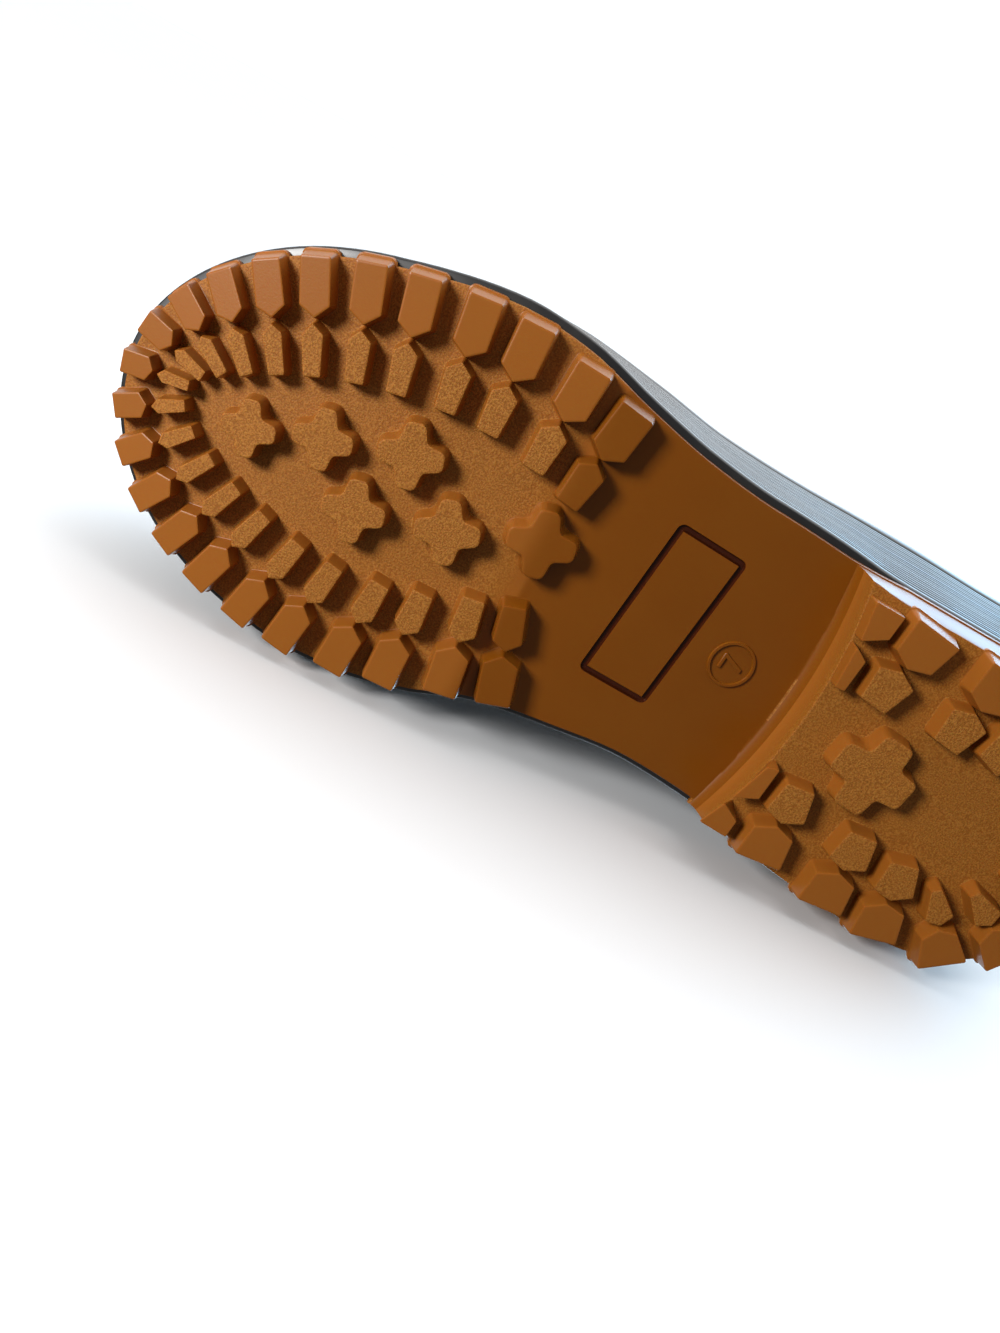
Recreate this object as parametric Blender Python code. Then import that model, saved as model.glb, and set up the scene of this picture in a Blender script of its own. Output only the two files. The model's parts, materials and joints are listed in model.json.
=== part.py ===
"""Ankle-height rain boot for the left foot, women's size 7, lying on its inner side.

The boot is worked out standing: x runs from the back of the heel to the toe, y to the outer
side of the foot and z up from the ground, all in millimetres. An empty then lays it over, so
that the tread faces -Y, the toe -X and the outer side +Z.
"""
import math
from typing import Callable, NamedTuple, Sequence

import bmesh
import bpy
from mathutils import Matrix, Vector

MILLIMETRE = 0.001
TURN = 2.0 * math.pi

# Facets round each closed outline, and how much finer the line is that the lugs stand on.
FACETS = 52
FINE = 4


class PlanRow(NamedTuple):
    """One cross-section of an outline seen from above."""

    x: float
    centre: float
    half: float


class HeightRow(NamedTuple):
    """Height of a line along the boot at one cross-section."""

    x: float
    z: float


class RingRow(NamedTuple):
    """One ring of the upper, from its back to its front."""

    back_x: float
    back_z: float
    front_x: float
    front_z: float
    half: float
    oval: float


class CleatRow(NamedTuple):
    """One four-lobed cleat of the tread, with the half angle of its lobes' flat ends."""

    x: float
    y: float
    turn: float
    size: float
    lobe: float


class BreastLine(NamedTuple):
    """Line across the front of the heel: its place in the middle, its slant and how far it bows forward."""

    x: float
    slant: float
    bow: float


class BarRow(NamedTuple):
    """One bar at the breast: the two ends of its front and of its back across the heel, and its back."""

    start: float
    tip: float
    back_start: float
    back_tip: float
    back: float


class AimRow(NamedTuple):
    """Where on the middle line the first lug of a side points, and how fast the next ones follow."""

    x: float
    rate: float


class LugSize(NamedTuple):
    """Length of a lug, width of its flat end and width at its shoulders."""

    length: float
    flat: float
    shoulder: float


class RibRow(NamedTuple):
    """One step of the sidewall's profile: share of its height and depth below its face."""

    share: float
    depth: float


class Plan(NamedTuple):
    """A closed outline with a rounded heel and a rounded toe."""

    back: float
    front: float
    heel_round: float
    toe_round: float
    heel_power: float
    toe_power: float
    rows: tuple


# Outline of the tread's edge, and of the sidewall's rim, which is less waisted.
OUTSOLE = Plan(back=0.0, front=270.6, heel_round=40.0, toe_round=198.0, heel_power=2.2, toe_power=2.05, rows=(
    PlanRow(x=0.0, centre=-2.2, half=38.7),
    PlanRow(x=50.0, centre=-2.2, half=38.7),
    PlanRow(x=71.0, centre=-1.2, half=37.6),
    PlanRow(x=89.0, centre=0.4, half=36.2),
    PlanRow(x=102.0, centre=2.0, half=35.8),
    PlanRow(x=122.0, centre=3.5, half=35.3),
    PlanRow(x=141.0, centre=3.8, half=36.8),
    PlanRow(x=160.0, centre=4.4, half=39.8),
    PlanRow(x=178.0, centre=3.1, half=45.3),
    PlanRow(x=196.0, centre=1.5, half=48.3),
    PlanRow(x=214.0, centre=-0.4, half=48.6),
    PlanRow(x=240.0, centre=-1.8, half=48.6),
    PlanRow(x=270.6, centre=-3.6, half=48.6)))
RIM = Plan(back=-3.0, front=270.2, heel_round=44.0, toe_round=198.0, heel_power=2.2, toe_power=2.05, rows=(
    PlanRow(x=-3.0, centre=1.1, half=43.8),
    PlanRow(x=52.0, centre=1.1, half=43.8),
    PlanRow(x=74.0, centre=1.9, half=43.5),
    PlanRow(x=94.0, centre=2.5, half=42.8),
    PlanRow(x=114.0, centre=2.6, half=42.3),
    PlanRow(x=135.0, centre=2.8, half=42.7),
    PlanRow(x=156.0, centre=3.6, half=44.4),
    PlanRow(x=178.0, centre=2.8, half=47.0),
    PlanRow(x=196.0, centre=1.6, half=48.4),
    PlanRow(x=214.0, centre=0.3, half=48.6),
    PlanRow(x=240.0, centre=-1.8, half=48.6),
    PlanRow(x=270.6, centre=-3.4, half=48.6)))

# Seat of the sidewall on the outsole: flat under the ball, raised at the arch, heel and toe.
SEAT = (
    HeightRow(x=0.0, z=18.0), HeightRow(x=88.0, z=17.6), HeightRow(x=102.0, z=16.2),
    HeightRow(x=122.0, z=13.2), HeightRow(x=141.0, z=10.4), HeightRow(x=160.0, z=8.4),
    HeightRow(x=176.0, z=7.6), HeightRow(x=203.0, z=7.6), HeightRow(x=225.0, z=8.5),
    HeightRow(x=246.0, z=10.8), HeightRow(x=270.6, z=16.0))
RIM_LINE = (
    HeightRow(x=-3.0, z=53.0), HeightRow(x=52.0, z=52.0), HeightRow(x=94.0, z=49.0),
    HeightRow(x=114.0, z=47.0), HeightRow(x=156.0, z=43.5), HeightRow(x=196.0, z=42.0),
    HeightRow(x=235.0, z=43.4), HeightRow(x=270.2, z=48.2))

# Rings of the upper from the rim to the collar: a low toe, the instep, then an oval shaft.
UPPER_RINGS = (
    RingRow(back_x=0.8, back_z=53.0, front_x=266.3, front_z=48.0, half=45.4, oval=0.00),
    RingRow(back_x=0.2, back_z=56.0, front_x=265.3, front_z=53.8, half=45.2, oval=0.00),
    RingRow(back_x=0.0, back_z=59.0, front_x=260.8, front_z=60.0, half=44.5, oval=0.03),
    RingRow(back_x=0.3, back_z=63.0, front_x=250.2, front_z=65.4, half=43.5, oval=0.08),
    RingRow(back_x=1.2, back_z=68.0, front_x=233.6, front_z=70.8, half=42.4, oval=0.15),
    RingRow(back_x=2.6, back_z=75.0, front_x=213.0, front_z=78.5, half=41.3, oval=0.26),
    RingRow(back_x=4.8, back_z=83.0, front_x=191.0, front_z=87.5, half=40.2, oval=0.42),
    RingRow(back_x=7.6, back_z=93.0, front_x=169.0, front_z=99.0, half=39.2, oval=0.62),
    RingRow(back_x=10.2, back_z=105.0, front_x=149.0, front_z=112.0, half=38.3, oval=0.82),
    RingRow(back_x=12.0, back_z=120.0, front_x=133.5, front_z=126.0, half=37.6, oval=0.96),
    RingRow(back_x=12.6, back_z=137.0, front_x=124.5, front_z=141.0, half=37.2, oval=1.00),
    RingRow(back_x=12.2, back_z=155.0, front_x=119.5, front_z=156.0, half=37.2, oval=1.00),
    RingRow(back_x=11.2, back_z=174.0, front_x=117.5, front_z=169.0, half=37.6, oval=1.00))
UPPER_RING_COUNT = 17
UPPER_WALL = 2.4
UPPER_INSET = 3.6
SHAFT_CENTRE = -1.5
RIM_SWING_SHARE = 0.6

# Outsole plate, heel and tread.
PLATE_THICKNESS = 2.2
LUG_HEIGHT = 5.4
LUG_ROOT = 1.0
LUG_DRAFT = 0.8
LUG_EDGE_INSET = 0.5
LUG_INNER_LEAN = 1.1
LUG_OUTER_LEAN = 1.7
HEEL_LUG_INSET = 0.6
HEEL_LUG_LEAN = 1.2
HEEL_INSET = 0.4
HEEL_SINK = 1.0
BREAST_STEPS = 12
BREAST_SHARES = (0.0, 0.6, 0.9, 1.0)

# Hollow front of the heel where it meets the heel's floor and the plate, and the front of its bars.
BREAST_TOP = BreastLine(x=90.2, slant=0.0, bow=0.0043)
BREAST_FOOT = BreastLine(x=95.0, slant=0.0, bow=0.0027)
BAR_FRONT = BreastLine(x=90.9, slant=-0.06, bow=0.005)

# Forefoot lugs: pairs from the inner waist round the toe to the outer waist.
LUG_COUNT = 23
LUG_START = 156.5
LUG_END = 162.7
LUG_PITCH_TOE = 10.7
LUG_PITCH_WAIST = 14.5
LUG_PAIR_SHIFT = 1.5
LUG_TOE_SPREAD = 2.9
LUG_OUTER_LENGTH = 13.0
LUG_OUTER_TOE_CUT = 5.2
LUG_INNER_LENGTH = 11.4
LUG_INNER_TOE_CUT = 3.2
LUG_OUTER_WIDTH = 8.6
LUG_OUTER_TOE_WIDTH = 5.4
LUG_INNER_WIDTH = 5.8
LUG_INNER_TOE_WIDTH = 2.4
LUG_INNER_AIM = AimRow(x=167.5, rate=0.66)
LUG_OUTER_AIM = AimRow(x=163.6, rate=0.70)
LUG_TIP_GAP = 1.0
LUG_SLIP = 0.3
LUG_SHOULDER = 0.80
LUG_WIDEST = 1.22

# Heel lugs: bars against the breast, then pairs round the back.
HEEL_START = 91.5
HEEL_OUTER_SIDE_ARCS = (13.7, 34.2, 50.3, 69.0, 86.0, 103.0)
HEEL_INNER_SIDE_ARCS = (11.6, 32.0, 48.8, 69.0, 86.0, 103.0)
HEEL_LUG_WIDTH = 12.4
HEEL_OUTER_LENGTH = 10.8
HEEL_SHOULDER = 10.6
HEEL_BACK_SHOULDER = 8.8
HEEL_INNER_LENGTH = 10.4
HEEL_INNER_WIDTH = 7.4
HEEL_INNER_WIDEST = 10.4
HEEL_BACK_INNER = 0.36
HEEL_BACK_REACH = 15.0
HEEL_BACK_X = 36.0
HEEL_LEAN = 4.0
HEEL_AIM_MIN = 53.5
HEEL_BARS = (
    BarRow(start=33.8, tip=24.0, back_start=33.8, back_tip=27.6, back=86.8),
    BarRow(start=22.8, tip=12.0, back_start=20.6, back_tip=12.2, back=88.2),
    BarRow(start=-33.4, tip=-26.0, back_start=-33.8, back_tip=-28.8, back=90.6),
    BarRow(start=-24.0, tip=-12.8, back_start=-21.0, back_tip=-11.9, back=89.4))
BAR_SINK = 0.6
BAR_END_DRAFT = 0.3

CLEATS = (
    CleatRow(x=236.0, y=-3.5, turn=-15.0, size=6.8, lobe=16.0),
    CleatRow(x=220.2, y=3.0, turn=-15.0, size=7.3, lobe=16.0),
    CleatRow(x=201.4, y=9.7, turn=-17.0, size=7.9, lobe=16.0),
    CleatRow(x=207.0, y=-7.8, turn=-15.0, size=7.7, lobe=16.0),
    CleatRow(x=186.3, y=-1.4, turn=-20.0, size=8.0, lobe=16.0),
    CleatRow(x=166.4, y=6.8, turn=-14.0, size=8.4, lobe=16.0))
HEEL_CLEAT = CleatRow(x=69.8, y=-2.1, turn=4.0, size=11.1, lobe=21.0)
CLEAT_LOBES = 4
CLEAT_NOTCH = 0.58

# Sidewall: ledge beyond the tread, ribs, a deep groove and the plain lip of the rim.
LEDGE = 2.0
RIB_COUNT = 9
RIB_START = 0.07
RIB_END = 0.82
RIB_DEPTH = 0.7
RIB_CREST_SHARE = 0.55
LIP_ROWS = (
    RibRow(share=0.83, depth=1.6), RibRow(share=0.86, depth=0.0), RibRow(share=0.96, depth=0.2),
    RibRow(share=1.0, depth=1.2))
FOOT_ROWS = (RibRow(share=0.0, depth=0.6), RibRow(share=0.03, depth=0.0))

INSOLE_THICKNESS = 4.0
INSOLE_CLEARANCE = 0.5

# Gap that neighbouring pieces keep.
GAP = 0.3

# How the empty boot lies on its inner side: on the ball, the heel's rim and the collar.
LAY_TILT = -2.008
LAY_PITCH = 1.982

BLACK_RUBBER = (0.012, 0.013, 0.015)
GUM_RUBBER = (0.36, 0.13, 0.028)
LINING_GREY = (0.10, 0.10, 0.11)


def smooth_at(rows: Sequence[NamedTuple], column: str, x: float) -> float:
    """Value of a table's column at x, on a smooth curve through its rows."""
    if x <= rows[0].x:
        return getattr(rows[0], column)
    if x >= rows[-1].x:
        return getattr(rows[-1], column)
    k = max(i for i in range(len(rows) - 1) if rows[i].x <= x)

    def slope(i: int) -> float:
        """Slope of the curve at row i, flat where the column turns."""
        if i == 0 or i == len(rows) - 1:
            return 0.0
        before = (getattr(rows[i], column) - getattr(rows[i - 1], column)) / (rows[i].x - rows[i - 1].x)
        after = (getattr(rows[i + 1], column) - getattr(rows[i], column)) / (rows[i + 1].x - rows[i].x)
        return 0.0 if before * after <= 0.0 else 2.0 * before * after / (before + after)

    span = rows[k + 1].x - rows[k].x
    t = (x - rows[k].x) / span
    start, end = getattr(rows[k], column), getattr(rows[k + 1], column)
    rise = end - start
    first, last = slope(k) * span, slope(k + 1) * span
    return start + t * (first + t * (3.0 * rise - 2.0 * first - last + t * (first + last - 2.0 * rise)))


def end_round(plan: Plan, x: float) -> float:
    """Share of the half-width that the rounded heel and toe leave at x."""
    if x > plan.toe_round:
        reach = min(1.0, (x - plan.toe_round) / (plan.front - plan.toe_round))
        return math.sqrt(1.0 - reach ** plan.toe_power)
    if x < plan.heel_round:
        reach = min(1.0, (plan.heel_round - x) / (plan.heel_round - plan.back))
        return math.sqrt(1.0 - reach ** plan.heel_power)
    return 1.0


def plan_point(plan: Plan, turn: float) -> Vector:
    """Point of an outline: turn 0 is the toe, a quarter the outer side, a half the heel."""
    x = plan.back + (plan.front - plan.back) * (1.0 + math.cos(TURN * turn)) / 2.0
    side = math.copysign(1.0, math.sin(TURN * turn))
    y = smooth_at(plan.rows, "centre", x) + side * smooth_at(plan.rows, "half", x) * end_round(plan, x)
    return Vector((x, y))


def plan_loop(plan: Plan, offset: float = 0.0, count: int = FACETS) -> list[Vector]:
    """Closed outline, moved outward by offset along its own normals."""
    return offset_loop([plan_point(plan, i / count) for i in range(count)], offset)


def offset_loop(loop: Sequence[Vector], offset: float) -> list[Vector]:
    """A closed plan loop moved outward along its normals."""
    moved = []
    for i, point in enumerate(loop):
        along = loop[(i + 1) % len(loop)] - loop[i - 1]
        normal = Vector((along.y, -along.x)).normalized()
        moved.append(point + offset * normal)
    return moved


def seat(x: float) -> float:
    """Height of the sidewall's seat on the outsole."""
    return smooth_at(SEAT, "z", x)


def stitch_rings(rings: Sequence[Sequence[Vector]], closed: bool) -> tuple[list, list]:
    """Vertices and quads of a tube of rings, joined end to end where closed."""
    count = len(rings[0])
    vertices = [point for ring in rings for point in ring]
    faces = []
    for k in range(len(rings) if closed else len(rings) - 1):
        low, high = k * count, ((k + 1) % len(rings)) * count
        for i in range(count):
            j = (i + 1) % count
            faces.append((low + i, low + j, high + j, high + i))
    return vertices, faces


def ladder_slab(loop: Sequence[Vector], bottom: Callable, top: Callable) -> tuple[list, list]:
    """Slab on a plan loop whose faces bend along the boot only."""
    count = len(loop)
    vertices = [Vector((p.x, p.y, bottom(p.x))) for p in loop] + [Vector((p.x, p.y, top(p.x))) for p in loop]
    faces = [(i, (i + 1) % count, count + (i + 1) % count, count + i) for i in range(count)]
    for i in range(count // 2):
        near, far = (i, i + 1), ((count - i - 1) % count, (count - i) % count)
        rung = [near[0], near[1], far[0], far[1]]
        corners = [v for k, v in enumerate(rung) if v not in rung[:k]]
        faces.append(tuple(reversed(corners)))
        faces.append(tuple(v + count for v in corners))
    return vertices, faces


def prism(rings: Sequence[Sequence[Vector]]) -> tuple[list, list]:
    """Closed stack of polygons of as many corners, the lowest one facing down."""
    vertices, faces = stitch_rings(rings, closed=False)
    count = len(rings[0])
    faces.append(tuple(reversed(range(count))))
    faces.append(tuple(range(len(vertices) - count, len(vertices))))
    return vertices, faces


def rubber(name: str, colour: tuple, roughness: float) -> bpy.types.Material:
    """Plain material of one piece."""
    material = bpy.data.materials.new(name)
    material.use_nodes = True
    shader = material.node_tree.nodes["Principled BSDF"]
    shader.inputs["Base Color"].default_value = (*colour, 1.0)
    shader.inputs["Roughness"].default_value = roughness
    material.diffuse_color = (*colour, 1.0)
    return material


def add_piece(name: str, shapes: Sequence[tuple[list, list]], parent: bpy.types.Object) -> bpy.types.Object:
    """One object made of closed shapes, laid over with its parent."""
    vertices, faces = [], []
    for points, polygons in shapes:
        start = len(vertices)
        vertices.extend(point * MILLIMETRE for point in points)
        faces.extend(tuple(v + start for v in polygon) for polygon in polygons)
    mesh = bpy.data.meshes.new(name)
    mesh.from_pydata(vertices, [], faces)
    facets = bmesh.new()
    facets.from_mesh(mesh)
    bmesh.ops.triangulate(facets, faces=facets.faces)
    facets.to_mesh(mesh)
    facets.free()
    piece = bpy.data.objects.new(name, mesh)
    bpy.context.scene.collection.objects.link(piece)
    piece.parent = parent
    return piece


def finish_piece(piece: bpy.types.Object, material: bpy.types.Material, sharp_degrees: float) -> None:
    """Material and smooth shading of a piece."""
    piece.data.materials.append(material)
    piece.data.shade_smooth()
    piece.data.set_sharp_from_angle(angle=math.radians(sharp_degrees))


def join_shapes(piece: bpy.types.Object, name: str, shapes: Sequence[tuple[list, list]]) -> None:
    """Grow a piece by closed shapes that reach into it."""
    added = add_piece(name, shapes, piece.parent)
    added.hide_render = True
    added.display_type = "WIRE"
    union = piece.modifiers.new(name, "BOOLEAN")
    union.operation = "UNION"
    union.solver = "EXACT"
    union.use_self = True
    union.object = added


def upper_ring_at(share: float) -> RingRow:
    """Ring of the upper between rim and collar, share 0 to 1, on a smooth curve."""
    position = share * (len(UPPER_RINGS) - 1)
    values = {}
    for column in RingRow._fields:
        rows = [HeightRow(x=float(i), z=getattr(row, column)) for i, row in enumerate(UPPER_RINGS)]
        values[column] = smooth_at(rows, "z", position)
    return RingRow(**values)


def upper_loop(share: float) -> list[Vector]:
    """Ring of the upper's outer face at a share of the way from rim to collar."""
    ring = upper_ring_at(share)
    base = upper_ring_at(0.0)
    widest = max(row.half for row in RIM.rows)
    swing = max(0.0, 1.0 - share / RIM_SWING_SHARE) ** 2
    points = []
    for i in range(FACETS):
        angle = TURN * i / FACETS
        along = (1.0 + math.cos(angle)) / 2.0
        rim_x = RIM.back + (RIM.front - RIM.back) * along
        footprint = smooth_at(RIM.rows, "half", rim_x) * end_round(RIM, rim_x) / widest
        width = footprint + (abs(math.sin(angle)) - footprint) * ring.oval
        middle = smooth_at(RIM.rows, "centre", rim_x)
        middle += (SHAFT_CENTRE - middle) * ring.oval
        rim_rise = smooth_at(RIM_LINE, "z", rim_x)
        rim_rise -= base.back_z + (base.front_z - base.back_z) * along
        points.append(Vector((
            ring.back_x + (ring.front_x - ring.back_x) * along,
            middle + math.copysign(ring.half * width, math.sin(angle)),
            ring.back_z + (ring.front_z - ring.back_z) * along + swing * rim_rise)))
    return points


def upper_foot_loop() -> list[Vector]:
    """Lower edge of the upper's outer face, on the outsole."""
    return [Vector((p.x, p.y, seat(p.x) + GAP)) for p in plan_loop(OUTSOLE, -UPPER_INSET)]


def inward_normals(rings: Sequence[Sequence[Vector]]) -> list[list[Vector]]:
    """Unit normals into the boot at every point of a stack of rings."""
    normals = []
    for k, ring in enumerate(rings):
        below, above = rings[max(0, k - 1)], rings[min(len(rings) - 1, k + 1)]
        row = []
        for i in range(len(ring)):
            along = ring[(i + 1) % len(ring)] - ring[i - 1]
            row.append((above[i] - below[i]).cross(along).normalized())
        normals.append(row)
    return normals


def build_upper(parent: bpy.types.Object, material: bpy.types.Material) -> None:
    """Hollow upper, open at the collar and over the outsole."""
    outer = [upper_foot_loop()] + [upper_loop(k / (UPPER_RING_COUNT - 1)) for k in range(UPPER_RING_COUNT)]
    normals = inward_normals(outer)
    inner = []
    for k, (ring, inward) in enumerate(zip(outer, normals)):
        edge = k in (0, len(outer) - 1)
        moves = [Vector((n.x, n.y, 0.0)).normalized() if edge else n for n in inward]
        inner.append([point + UPPER_WALL * move for point, move in zip(ring, moves)])
    upper = add_piece("upper", [stitch_rings(outer + inner[::-1], closed=True)], parent)
    finish_piece(upper, material, sharp_degrees=50.0)


def build_sidewall(parent: bpy.types.Object, material: bpy.types.Material) -> None:
    """Ribbed sidewall round the lower part of the upper, with the rim's lip on top."""
    foot = plan_loop(OUTSOLE, LEDGE)
    rim = plan_loop(RIM)
    pitch = (RIB_END - RIB_START) / RIB_COUNT
    ribs = []
    for k in range(RIB_COUNT):
        start = RIB_START + k * pitch
        ribs.append(RibRow(share=start, depth=RIB_DEPTH))
        ribs.append(RibRow(share=start + RIB_CREST_SHARE * pitch, depth=0.0))
    rings = []
    for row in (*FOOT_ROWS, *ribs, *LIP_ROWS):
        loop = offset_loop([low.lerp(high, row.share) for low, high in zip(foot, rim)], -row.depth)
        heights = [(1.0 - row.share) * (seat(low.x) + GAP) + row.share * smooth_at(RIM_LINE, "z", high.x)
                   for low, high in zip(foot, rim)]
        rings.append([Vector((p.x, p.y, z)) for p, z in zip(loop, heights)])
    for source in (upper_loop(0.0), upper_foot_loop()):
        flat = offset_loop([Vector((p.x, p.y)) for p in source], GAP)
        rings.append([Vector((p.x, p.y, q.z)) for p, q in zip(flat, source)])
    sidewall = add_piece("sidewall", [stitch_rings(rings, closed=True)], parent)
    finish_piece(sidewall, material, sharp_degrees=40.0)


def house(tip: Vector, inward: Vector, size: LugSize, grow: float, flat_grow: float) -> list[Vector]:
    """Plan of a lug: a flat end, two shoulders and a point at the tip, grown round it and at the flat end."""
    across = Vector((-inward.y, inward.x))
    flat = tip - inward * (size.length + flat_grow)
    waist = tip - inward * size.length * (1.0 - LUG_SHOULDER)
    wide, narrow = size.shoulder / 2.0 + grow, size.flat / 2.0 + grow
    return [flat - across * narrow, waist - across * wide, tip + inward * grow, waist + across * wide,
            flat + across * narrow]


def lug_prism(outline: Callable, ground: Callable, root: Callable) -> tuple[list, list]:
    """Tapered lug from its ground face up to its root."""
    low = [Vector((p.x, p.y, ground(p.x))) for p in outline(0.0)]
    high = [Vector((p.x, p.y, root(p.x))) for p in outline(LUG_DRAFT)]
    area = sum(a.x * b.y - b.x * a.y for a, b in zip(low, low[1:] + low[:1]))
    if area < 0.0:
        low.reverse()
        high.reverse()
    return prism([low, high])


def tread_ground(x: float) -> float:
    """Ground face of the forefoot's tread."""
    return seat(x) - PLATE_THICKNESS - LUG_HEIGHT


def tread_root(x: float) -> float:
    """Root of the forefoot's lugs, inside the plate."""
    return seat(x) - PLATE_THICKNESS + LUG_ROOT


def heel_ground(_: float) -> float:
    """Ground face of the heel's tread."""
    return 0.0


def heel_root(_: float) -> float:
    """Root of the heel's lugs, inside the heel."""
    return LUG_HEIGHT + LUG_ROOT


def lug_pair(edge: Vector, aim: Vector, outer: LugSize, inner: LugSize, lean: float, ground: Callable,
             root: Callable) -> tuple:
    """An outer lug, whose end leans in from the edge of the sole, and an inner one, point to point."""
    inward = (aim - edge).normalized()
    across = Vector((-inward.y, inward.x))
    tip = edge + inward * (lean + outer.length)
    facing = tip + inward * LUG_TIP_GAP + across * LUG_SLIP
    end = lean / LUG_DRAFT
    return (lug_prism(lambda grow: house(tip, inward, outer, grow, end * grow), ground, root),
            lug_prism(lambda grow: house(facing, -inward, inner, grow, grow), ground, root))


def arc_marks(loop: Sequence[Vector]) -> list[float]:
    """Distance along a closed loop at each of its points, and its whole length."""
    marks = [0.0]
    for i in range(len(loop)):
        marks.append(marks[-1] + (loop[(i + 1) % len(loop)] - loop[i]).length)
    return marks


def at_arc(loop: Sequence[Vector], marks: Sequence[float], distance: float) -> Vector:
    """Point of a closed loop at a distance along it."""
    distance %= marks[-1]
    k = max(i for i in range(len(loop)) if marks[i] <= distance)
    share = (distance - marks[k]) / (marks[k + 1] - marks[k])
    return loop[k].lerp(loop[(k + 1) % len(loop)], share)


def side_marks(loop: Sequence[Vector], marks: Sequence[float], outer_x: float, inner_x: float) -> tuple:
    """Distances along a loop where its outer side and its inner side pass two places."""
    half = len(loop) // 2
    found = []
    for side, x in ((range(half), outer_x), (range(half, len(loop) - 1), inner_x)):
        i = next(i for i in side if (loop[i].x - x) * (loop[i + 1].x - x) <= 0.0)
        share = (x - loop[i].x) / (loop[i + 1].x - loop[i].x)
        found.append(mix(marks[i], marks[i + 1], share))
    return tuple(found)


def mix(start: float, end: float, share: float) -> float:
    """Value at a share of the way between two others."""
    return start + (end - start) * share


def forefoot_lugs() -> list[tuple]:
    """Pairs of lugs from the inner waist round the toe, where they stand closer, to the outer waist."""
    loop = plan_loop(OUTSOLE, -LUG_EDGE_INSET, count=FINE * FACETS)
    marks = arc_marks(loop)
    end, start = side_marks(loop, marks, LUG_END, LUG_START)
    start -= marks[-1]
    middle = (LUG_COUNT - 1) / 2.0
    steps = []
    for k in range(LUG_COUNT - 1):
        side = abs(k + 0.5 - middle) / middle
        pair = LUG_PAIR_SHIFT * (-1.0) ** (min(k, LUG_COUNT - 2 - k) + 1)
        steps.append(mix(LUG_PITCH_TOE, LUG_PITCH_WAIST + pair, side ** 2))
    stretch = (end - start) / sum(steps)
    pairs = []
    for k in range(LUG_COUNT):
        edge = at_arc(loop, marks, start + stretch * sum(steps[:k]))
        aimed = LUG_OUTER_AIM if edge.y > 0.0 else LUG_INNER_AIM
        aim = Vector((aimed.x + aimed.rate * (edge.x - LUG_START), 0.0))
        toe = math.exp(-((k - middle) / LUG_TOE_SPREAD) ** 2)
        side = abs(k - middle) / middle
        outer_flat = mix(LUG_OUTER_TOE_WIDTH, LUG_OUTER_WIDTH, side)
        inner_flat = mix(LUG_INNER_TOE_WIDTH, LUG_INNER_WIDTH, side)
        outer = LugSize(LUG_OUTER_LENGTH - LUG_OUTER_TOE_CUT * toe, outer_flat, outer_flat)
        inner = LugSize(LUG_INNER_LENGTH - LUG_INNER_TOE_CUT * toe, inner_flat, inner_flat * LUG_WIDEST)
        lean = mix(LUG_INNER_LEAN, LUG_OUTER_LEAN, k / (LUG_COUNT - 1))
        pairs.append(lug_pair(edge, aim, outer, inner, lean, tread_ground, tread_root))
    return pairs


def heel_lugs() -> list[tuple]:
    """Pairs of lugs from each end of the breast to the back of the heel, slimmer round the back."""
    loop = plan_loop(OUTSOLE, -HEEL_LUG_INSET, count=FINE * FACETS)
    marks = arc_marks(loop)
    outer_end, inner_end = side_marks(loop, marks, HEEL_START, HEEL_START)
    arcs = [outer_end + step for step in HEEL_OUTER_SIDE_ARCS]
    arcs += [inner_end - step for step in HEEL_INNER_SIDE_ARCS]
    pairs = []
    for arc in arcs:
        edge = at_arc(loop, marks, arc)
        aim = Vector((max(HEEL_AIM_MIN, edge.x + HEEL_LEAN), smooth_at(OUTSOLE.rows, "centre", edge.x)))
        back = min(1.0, max(0.0, (HEEL_BACK_X - edge.x) / HEEL_BACK_REACH))
        slim = mix(1.0, HEEL_BACK_INNER, back)
        outer = LugSize(HEEL_OUTER_LENGTH, HEEL_LUG_WIDTH, mix(HEEL_SHOULDER, HEEL_BACK_SHOULDER, back))
        inner = LugSize(HEEL_INNER_LENGTH, HEEL_INNER_WIDTH * slim, HEEL_INNER_WIDEST * (1.0 + slim) / 2.0)
        pairs.append(lug_pair(edge, aim, outer, inner, HEEL_LUG_LEAN, heel_ground, heel_root))
    return pairs


def breast(line: BreastLine, y: float) -> float:
    """Place of a line across the front of the heel, bowed back at its middle."""
    return line.x + line.slant * y + line.bow * y * y


def heel_block() -> tuple[list, list]:
    """Heel under the plate, down to the floor of its tread, with a hollow breast."""
    loop = [p for p in plan_loop(OUTSOLE, -HEEL_INSET) if p.x < breast(BREAST_TOP, p.y) - HEEL_INSET]
    across = [mix(loop[-1].y, loop[0].y, k / BREAST_STEPS) for k in range(BREAST_STEPS + 1)]
    rings = []
    for share in BREAST_SHARES:
        drawn = 1.0 - math.sqrt(1.0 - share * share)
        front = [Vector((mix(breast(BREAST_TOP, y), breast(BREAST_FOOT, y), drawn), y)) for y in across]
        rings.append([Vector((p.x, p.y, mix(LUG_HEIGHT, seat(p.x) - PLATE_THICKNESS + HEEL_SINK, share)))
                      for p in loop + front])
    return prism(rings)


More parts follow.
